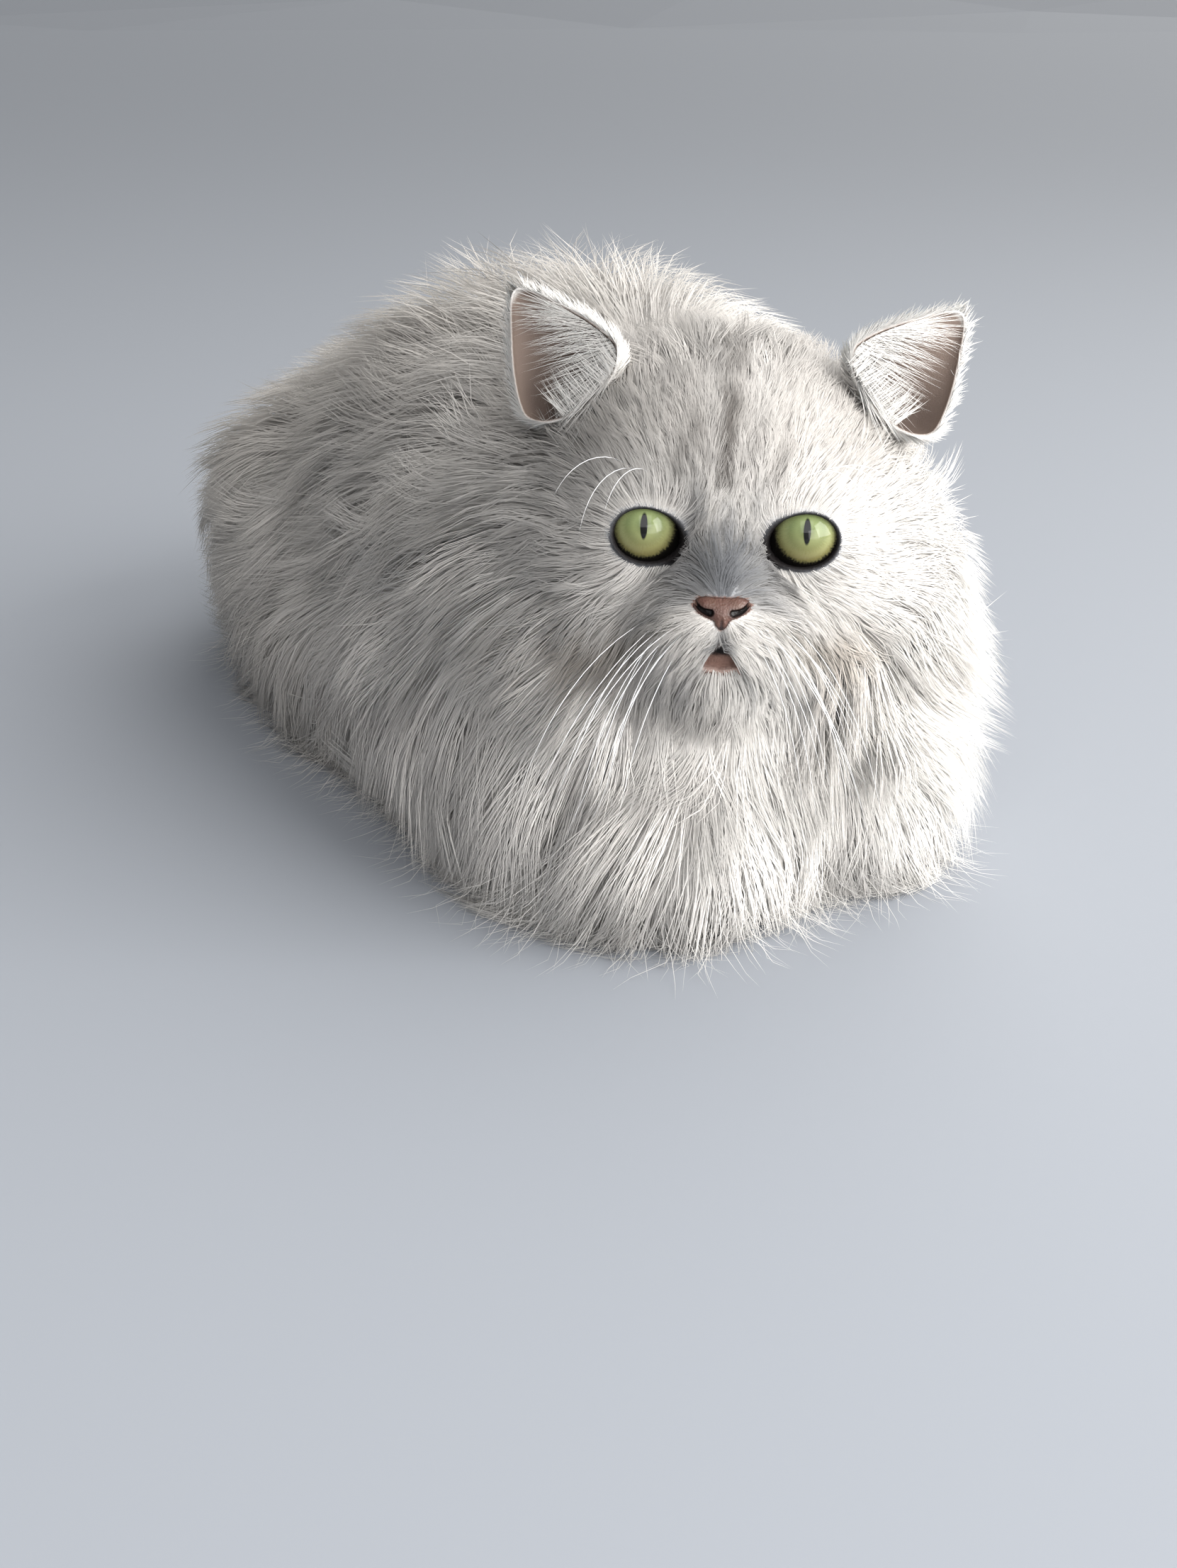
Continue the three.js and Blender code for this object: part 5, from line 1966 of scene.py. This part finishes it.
@dataclass
class Fringe:
    """Thin curled wisps round the foot of the coat, lying on the floor."""

    coat: Coat
    count: int = 2900
    rings: int = 4
    width: float = 0.22
    high: float = 18.0
    beyond: tuple[float, float] = (-3.0, 15.0)
    front: float = -234.0
    seed: int = 31

    def build(self, skin: Object, material: Material) -> Object:
        """The wisps.

        Args:
            skin: The finished skin.
            material: The coat's finish.

        Returns:
            The piece.
        """
        draw = np.random.default_rng(self.seed)
        places = vertices_of(skin.data)
        low = places[(places[:, 2] > 5.0) & (places[:, 2] < self.high)]
        roots = low[draw.integers(0, len(low), self.count)] + draw.normal(0.0, 1.5, (self.count, 3))
        roots[:, 2] = np.maximum(roots[:, 2], 3.0)
        start = self.coat.read(roots)
        way = start.outward.copy()
        way[:, 2] = 0.0
        way = unit(way)
        side = np.cross(way, UP)
        turn = draw.normal(0.0, 0.5, self.count)
        reach = start.coat - start.distance + draw.uniform(*self.beyond, self.count)
        share = np.linspace(0.0, 1.0, self.rings + 1)
        turns = draw.uniform(2.5, 7.5, self.count)[:, None]
        curl = draw.normal(0.0, 4.5, self.count)[:, None] * np.sin(share[None] * turns)
        run = reach[:, None] * share[None]
        across = run * np.sin(turn)[:, None] + curl
        lines = roots[:, None] + way[:, None] * (run * np.cos(turn)[:, None])[..., None]
        lines += side[:, None] * across[..., None]
        settle = smoothstep(share, 0.0, 0.75)[None]
        rest = draw.uniform(1.0, 4.5, self.count)[:, None] * (1.0 - 0.6 * share[None])
        lines[..., 2] = roots[:, None, 2] * (1.0 - settle) + rest * settle
        lines[..., 1] = np.maximum(lines[..., 1], self.front)
        outward = unit(way[:, None] * 0.4 + UP)
        outward = np.repeat(outward, self.rings + 1, axis=1)
        colours = MARKINGS.coat(self.coat.body, roots, start.outward) * 0.97
        colours = np.repeat(colours[:, None], self.rings + 1, axis=1)
        flat = fill_square(np.stack([np.arctan2(roots[:, 1], roots[:, 0]), roots[:, 2]], axis=1))
        width = self.width * draw.uniform(0.6, 1.2, self.count)
        hairs = Hairs(lines, outward, width, colours, flat)
        return self.coat.mesher.build(hairs, "fur_fringe", material)


@dataclass
class TailFur:
    """The tail's long fur, combed to its tip."""

    tail: Tail
    mesher: HairMesher
    count: int = 4800
    tuft: int = 12
    rings: int = 3
    width: float = 0.62
    length: float = 40.0
    seed: int = 32

    def build(self, material: Material) -> Object:
        """The fur.

        Args:
            material: The coat's finish.

        Returns:
            The piece.
        """
        draw = np.random.default_rng(self.seed)
        route = self.tail.route()
        whole = np.linalg.norm(np.diff(route, axis=0), axis=1).sum()
        root = draw.random(self.count) ** 0.8 * 0.92
        tufts = draw.integers(0, self.count // self.tuft, self.count)
        turn = draw.uniform(0.0, 2.0 * math.pi, self.count)
        sway = draw.normal(0.0, 0.18, self.count // self.tuft)[tufts]
        sway = sway + draw.normal(0.0, 0.08, self.count)
        tall = draw.uniform(0.82, 1.05, self.count)
        length = self.length * draw.uniform(0.75, 1.1, self.count)
        lines = []
        outward = []
        for ring in range(self.rings + 1):
            share = ring / self.rings
            along = root + share * length / whole
            spill = np.maximum(along - 1.0, 0.0) * whole
            along = np.minimum(along, 1.0)
            side, tangent = self.tail.frame(route, along)
            up = unit(np.cross(side, tangent))
            angle = turn + sway * share * 2.0
            skin = self.tail.skin_radius(root)
            girth = skin + (self.tail.coat_radius(np.minimum(along, 0.9)) * tall - skin) * share**0.7
            girth *= np.exp(-spill / 14.0)
            round_way = side * np.cos(angle)[:, None] + up * np.sin(angle)[:, None]
            place = self.tail.at(route, along) + tangent * spill[:, None] * 0.5
            place = place + round_way * girth[:, None]
            place[:, 2] = np.maximum(place[:, 2], FLOOR_CLEARANCE)
            lines.append(place)
            outward.append(unit(round_way + 0.2 * tangent))
        lines = np.stack(lines, axis=1)
        white = MARKINGS.WHITE * draw.normal(0.98, 0.03, (self.count, 1))
        dark = blend(white, np.tile(MARKINGS.SILVER, (self.count, 1)), 0.28 * draw.random(self.count))
        colours = np.clip(np.repeat(dark[:, None], self.rings + 1, axis=1), 0.0, 0.93)
        flat = fill_square(np.stack([root, turn], axis=1))
        width = self.width * draw.uniform(0.7, 1.2, self.count)
        hairs = Hairs(lines, np.stack(outward, axis=1), width, colours, flat)
        return self.mesher.build(hairs, "fur_tail", material)


@dataclass
class EarFur:
    """Long pale hairs across the ears' openings, with short fur on rims and backs."""

    ears: Ears
    mesher: HairMesher
    across: int = 420
    brush: int = 170
    rim: int = 560
    back: int = 1300
    rings: int = 3
    seed: int = 33

    def straight(self, start: Array, way: Array, length: Array) -> Array:
        """Straight middle lines with evenly spaced knots."""
        share = np.linspace(0.0, 1.0, self.rings + 1)
        return start[:, None] + way[:, None] * (length[:, None] * share)[..., None]

    def rim_place(self, side: Array, height: Array) -> Array:
        """Directions to the cup's rim at heights, on the side given."""
        reach = np.sqrt(np.maximum(1.0 - EAR.open_at**2 - height**2, 0.004))
        return np.stack([side * reach, np.full(len(height), EAR.open_at), height], axis=1)

    def fan(self, side: float, draw: Chance) -> tuple[Array, Array]:
        """Hairs from the inner rim that fan out over the opening, in the ear's own frame.

        Args:
            side: One for the left ear, minus one for the right.
            draw: The seeded source of chance.

        Returns:
            The hairs' middle lines and the outward way along them.
        """
        count = self.across
        height = draw.uniform(-0.85, 0.72, count)
        start = self.ears.form(self.rim_place(np.full(count, -side), height)) * np.array((0.93, 1.0, 0.97))
        start[:, 1] += draw.uniform(0.0, 3.0, count)
        rise = np.radians(-24.0 + 44.0 * (height + 0.85) + draw.normal(0.0, 12.0, count))
        way = np.stack([side * np.cos(rise), draw.normal(-0.10, 0.10, count), np.sin(rise)], axis=1)
        length = draw.uniform(10.0, 26.0, count) * (1.0 - 0.35 * np.maximum(height, 0.0))
        share = np.linspace(0.0, 1.0, self.rings + 1)
        lines = self.straight(start, way, length)
        lines[..., 1] -= 2.6 * np.sin(share * 2.2)[None]
        lines[..., 2] += draw.normal(0.6, 1.6, count)[:, None] * share[None] ** 2
        outward = np.tile(np.array((0.0, -1.0, 0.2)), (count, self.rings + 1, 1))
        return lines, unit(outward)

    def foot(self, side: float, draw: Chance) -> tuple[Array, Array]:
        """Hairs that stand up from the foot of the opening, in the ear's own frame.

        Args:
            side: One for the left ear, minus one for the right.
            draw: The seeded source of chance.

        Returns:
            The hairs' middle lines and the outward way along them.
        """
        count = self.brush
        across = draw.uniform(-0.9, 0.4, count) * side
        start = np.stack([across * EAR.width, draw.uniform(-6.0, 1.0, count),
                          -EAR.root * (0.35 + 0.6 * np.sqrt(1.0 - across**2))], axis=1)
        way = np.stack([side * draw.normal(0.15, 0.15, count), draw.normal(-0.22, 0.1, count),
                        np.ones(count)], axis=1)
        length = draw.uniform(6.0, 15.0, count)
        share = np.linspace(0.0, 1.0, self.rings + 1)
        lines = self.straight(start, unit(way), length)
        lines[..., 1] += 2.4 * share[None] ** 2
        outward = np.tile(np.array((0.0, -1.0, 0.2)), (count, self.rings + 1, 1))
        return lines, unit(outward)

    def edge(self, draw: Chance) -> tuple[Array, Array]:
        """Short hairs along both edges of the rim, in the ear's own frame.

        Args:
            draw: The seeded source of chance.

        Returns:
            The hairs' middle lines and the outward way along them.
        """
        count = self.rim
        height = draw.uniform(-0.7, 0.97, count)
        side = draw.choice((-1.0, 1.0), count)
        place = self.rim_place(side, height)
        start = self.ears.form(place)
        ahead = self.ears.form(unit(place + np.array((0.0, 0.0, 0.22)))) - start
        way = unit(ahead) + np.stack([0.45 * side, np.full(count, -0.1), np.zeros(count)], axis=1)
        way = unit(way + draw.normal(0.0, 0.24, (count, 3)))
        length = draw.uniform(2.5, 6.5, count)
        lines = self.straight(start, way, length)
        outward = np.stack([side, np.full(count, -1.0), np.zeros(count)], axis=1)
        return lines, unit(np.repeat(outward[:, None], self.rings + 1, axis=1))

    def shell(self, draw: Chance) -> tuple[Array, Array]:
        """Short fur on the back, combed to the ear's tip, in the ear's own frame.

        Args:
            draw: The seeded source of chance.

        Returns:
            The hairs' middle lines and the outward way along them.
        """
        place = unit(draw.normal(0.0, 1.0, (self.back, 3)))
        place[:, 1] = np.maximum(np.abs(place[:, 1]), 0.02)
        place[:, 2] = np.clip(place[:, 2], -0.75, 1.0)
        reach = draw.uniform(0.18, 0.34, self.back)
        sway = draw.normal(0.0, 0.10, self.back)
        lift = draw.uniform(0.05, 0.19, self.back)
        lines = []
        outward = []
        for ring in range(self.rings + 1):
            share = ring / self.rings
            moved = place.copy()
            moved[:, 2] += reach * share
            moved[:, 0] += sway * share
            moved = unit(moved)
            lines.append(self.ears.form(moved) * (1.0 + lift * share)[:, None] + moved * 0.5 * share)
            outward.append(moved * np.array((1.0, 1.0, 0.4)))
        return np.stack(lines, axis=1), unit(np.stack(outward, axis=1))

    def build(self, material: Material) -> list[Object]:
        """The fur of both ears.

        Args:
            material: The coat's finish.

        Returns:
            The two pieces.
        """
        made = []
        for side, word in SIDES:
            draw = np.random.default_rng(self.seed)
            sets = (self.fan(side, draw), self.foot(side, draw), self.edge(draw), self.shell(draw))
            lines = np.concatenate([lines for lines, _ in sets])
            outward = np.concatenate([outward for _, outward in sets])
            shape = lines.shape
            flat = fill_square(np.stack([lines[:, 0, 0] + 0.4 * lines[:, 0, 1], lines[:, 0, 2]], axis=1))
            lines = self.ears.to_cat(lines.reshape(-1, 3), side).reshape(shape)
            outward = outward.reshape(-1, 3) @ self.ears.matrix(side).T
            outward = self.ears.pose.turn_to_cat(outward).reshape(shape)
            tone = draw.normal(0.97, 0.03, (shape[0], 1))
            colours = np.clip(np.repeat((MARKINGS.WHITE * tone)[:, None], shape[1], axis=1), 0.0, 0.93)
            width = np.concatenate([draw.uniform(0.15, 0.25, self.across),
                                    draw.uniform(0.18, 0.30, self.brush),
                                    draw.uniform(0.20, 0.32, self.rim),
                                    draw.uniform(0.30, 0.46, self.back)])
            hairs = Hairs(lines, outward, width, colours, flat)
            made.append(self.mesher.build(hairs, f"ear_fur_{word}", material))
        return made


@dataclass
class Whiskers:
    """Long white whiskers that droop from the pads, and a few curled ones over the eyes."""

    skin: Skin
    mesher: HairMesher
    knots: int = 12
    width: float = 0.27
    pad_length: tuple[float, float] = (46.0, 76.0)
    brow_length: tuple[float, float] = (24.0, 36.0)
    droop: float = 0.15
    seed: int = 38

    def starts(self, draw: Chance) -> tuple[Array, Array, Array, Array]:
        """Roots, ways, lengths and droops, in the head's own frame.

        Args:
            draw: The seeded source of chance.

        Returns:
            The four, one row a whisker.
        """
        roots = []
        ways = []
        lengths = []
        droops = []
        for side in (-1.0, 1.0):
            for row in range(3):
                for column in range(4):
                    roots.append((side * (10.5 + 2.7 * column), -10.0, -25.8 - 3.0 * row + 0.35 * column))
                    ways.append((side * (0.70 - 0.06 * row), -0.34 + 0.06 * column, -0.42 - 0.14 * row))
                    lengths.append(draw.uniform(*self.pad_length))
                    droops.append(self.droop * draw.uniform(0.7, 1.25))
            for number in range(3):
                roots.append((side * (21.0 + 3.4 * number), -10.0, 14.0 + 1.2 * number))
                ways.append((side * (0.55 + 0.12 * number), -0.6, 0.70))
                lengths.append(draw.uniform(*self.brow_length))
                droops.append(self.droop * draw.uniform(1.1, 2.2))
        ways = unit(np.array(ways) + draw.normal(0.0, 0.07, (len(ways), 3)))
        return np.array(roots), ways, np.array(lengths), np.array(droops)

    def build(self, material: Material) -> Object:
        """The whiskers.

        Args:
            material: The coat's finish.

        Returns:
            The piece.
        """
        draw = np.random.default_rng(self.seed)
        roots, ways, lengths, droops = self.starts(draw)
        body = self.skin.body
        ahead = np.tile(AHEAD, (len(roots), 1))
        roots = draw_out(roots, ahead, self.skin.head_level, 45.0)
        point = body.pose.to_cat(roots)
        way = body.pose.turn_to_cat(ways)
        step = lengths / (self.knots - 1)
        lines = [point]
        for knot in range(1, self.knots):
            way = unit(way + np.array((0.0, 0.0, -1.0)) * droops[:, None])
            point = point + way * step[:, None]
            reading = body.read(point)
            clear = (reading.coat * 1.02 + 1.5) * min(1.0, 0.25 * knot)
            point = point + reading.outward * np.maximum(clear - reading.distance, 0.0)[:, None]
            point[:, 2] = np.maximum(point[:, 2], 1.0)
            lines.append(point)
        lines = np.stack(lines, axis=1)
        outward = np.tile(unit(np.array((-0.3, -0.8, 0.5))), (*lines.shape[:2], 1))
        colours = np.full(lines.shape, 0.92)
        flat = fill_square(roots[:, (0, 2)])
        hairs = Hairs(lines, outward, np.full(len(roots), self.width), colours, flat)
        return self.mesher.build(hairs, "whiskers", material)


def bearing(azimuth: float, elevation: float) -> Vector:
    """The direction at a bearing and a height.

    Args:
        azimuth: Degrees round from the cat's left.
        elevation: Degrees above the floor.

    Returns:
        A direction of length one.
    """
    turn = math.radians(azimuth)
    lift = math.radians(elevation)
    return Vector((math.cos(turn) * math.cos(lift), math.sin(turn) * math.cos(lift), math.sin(lift)))


def hang(lamp: bpy.types.Light, place: Vector, way: Vector) -> None:
    """Puts a lamp in the scene, facing back along a direction.

    Args:
        lamp: The lamp.
        place: Where it hangs, in metres.
        way: The direction that it is seen in.
    """
    light = bpy.data.objects.new(lamp.name, lamp)
    bpy.context.scene.collection.objects.link(light)
    light.location = place
    light.rotation_euler = (-way).to_track_quat("-Z", "Y").to_euler()


@dataclass(frozen=True)
class SoftBox:
    """One soft light, seen from the cat: its bearing, height, size and strength."""

    name: str
    azimuth: float
    elevation: float
    distance: float
    size: tuple[float, float]
    watts: float
    colour: Triple = (1.0, 1.0, 1.0)


@dataclass
class Studio:
    """The pale floor, the soft light and the camera at the photo's angle."""

    eye: Triple = (-355.0, -600.0, 254.0)
    ahead: tuple[float, float] = (0.537, 0.843)
    pitch: float = 22.3
    lens: float = 43.13
    sensor: float = 36.0
    nearest: float = 0.01
    floor_size: float = 400.0
    floor_flat: float = 40.0
    floor_rise: float = 0.12
    floor_steps: int = 40
    floor_roughness: float = 0.75
    floor_colour: Triple = (0.25, 0.265, 0.29)
    sky_colour: Triple = (0.90, 0.92, 0.95)
    sky_strength: float = 0.3
    daylight: float = 3.0
    daylight_angle: float = 80.0
    daylight_from: tuple[float, float] = (14.0, 40.0)
    daylight_distance: float = 2.0
    aim: Triple = (-20.0, -120.0, 90.0)
    lights: tuple[SoftBox, ...] = (
        SoftBox("window", -58.0, 24.0, 2.0, (2.0, 1.6), 84.0, (1.0, 0.995, 0.985)),
        SoftBox("room", -98.0, 12.0, 2.6, (1.8, 1.6), 40.0, (1.0, 0.99, 0.975)),
        SoftBox("fill", -124.0, 42.0, 2.6, (2.0, 2.0), 34.0, (0.98, 0.985, 1.0)),
    )

    def add_floor(self) -> None:
        """Lays the pale floor, flat near the cat and rising gently far off."""
        shape = bmesh.new()
        bmesh.ops.create_grid(shape, x_segments=self.floor_steps, y_segments=self.floor_steps,
                              size=self.floor_size / 2.0)
        for vertex in shape.verts:
            vertex.co.z = max(0.0, vertex.co.length - self.floor_flat) * self.floor_rise
        mesh = bpy.data.meshes.new("floor")
        shape.to_mesh(mesh)
        shape.free()
        material, surface = new_material("pale_floor")
        surface.inputs["Base Color"].default_value = (*self.floor_colour, 1.0)
        surface.inputs["Roughness"].default_value = self.floor_roughness
        floor = new_piece(mesh, "floor", material)

    def add_light(self, box: SoftBox) -> None:
        """Hangs one soft light, facing the cat.

        Args:
            box: The light.
        """
        lamp = bpy.data.lights.new(box.name, "AREA")
        lamp.shape = "RECTANGLE"
        lamp.size = box.size[0]
        lamp.size_y = box.size[1]
        lamp.energy = box.watts
        lamp.color = box.colour
        way = bearing(box.azimuth, box.elevation)
        hang(lamp, Vector(self.aim) * MM + way * box.distance, way)

    def add_daylight(self) -> None:
        """One broad even light from the cat's left and behind, alike near and far."""
        lamp = bpy.data.lights.new("daylight", "SUN")
        lamp.energy = self.daylight
        lamp.angle = math.radians(self.daylight_angle)
        way = bearing(*self.daylight_from)
        hang(lamp, way * self.daylight_distance, way)

    def add_camera(self) -> None:
        """Sets the camera where the photo was taken from."""
        lens = bpy.data.cameras.new("camera")
        lens.lens = self.lens
        lens.sensor_width = self.sensor
        lens.clip_start = self.nearest
        camera = bpy.data.objects.new("camera", lens)
        bpy.context.scene.collection.objects.link(camera)
        lift = math.radians(-self.pitch)
        way = Vector((self.ahead[0] * math.cos(lift), self.ahead[1] * math.cos(lift), math.sin(lift)))
        camera.location = Vector(self.eye) * MM
        camera.rotation_euler = way.to_track_quat("-Z", "Y").to_euler()
        bpy.context.scene.camera = camera

    def add_sky(self) -> None:
        """A plain soft sky all round."""
        world = bpy.data.worlds.new("soft_sky")
        world.use_nodes = True
        sky = world.node_tree.nodes["Background"]
        sky.inputs["Color"].default_value = (*self.sky_colour, 1.0)
        sky.inputs["Strength"].default_value = self.sky_strength
        bpy.context.scene.world = world

    def build(self) -> None:
        """Sets the whole studio."""
        self.add_camera()
        self.add_sky()
        self.add_floor()
        self.add_daylight()
        for box in self.lights:
            self.add_light(box)
        bpy.context.scene.view_settings.view_transform = "Standard"


def main() -> None:
    """Builds the pieces in order and reports each."""
    logging.basicConfig(level=logging.INFO, format="%(message)s")
    Studio().build()
    body = CatBody()
    tail = Tail()
    bare = Skin(body, tail)
    skin = bare.build()
    LOG.info("skin: %d triangles", sum(len(face.vertices) - 2 for face in skin.data.polygons))
    coat = Coat(body)
    pieces = coat.build(skin)
    material = pieces[0].data.materials[0]
    pieces.append(TailFur(tail, coat.mesher).build(material))
    pieces.append(Fringe(coat).build(skin, material))
    pieces += EarFur(Ears(body.pose), coat.mesher).build(material)
    pieces.append(Whiskers(bare, coat.mesher).build(material))
    for piece in pieces:
        LOG.info("%s: %d triangles", piece.name, len(piece.data.polygons))
    for eye in Eyes(body.pose).build():
        LOG.info("%s", eye.name)
    LOG.info("%s", NoseLeather(bare).build().name)
    for ear in Ears(body.pose).build():
        LOG.info("%s", ear.name)


if __name__ == "__main__":
    main()
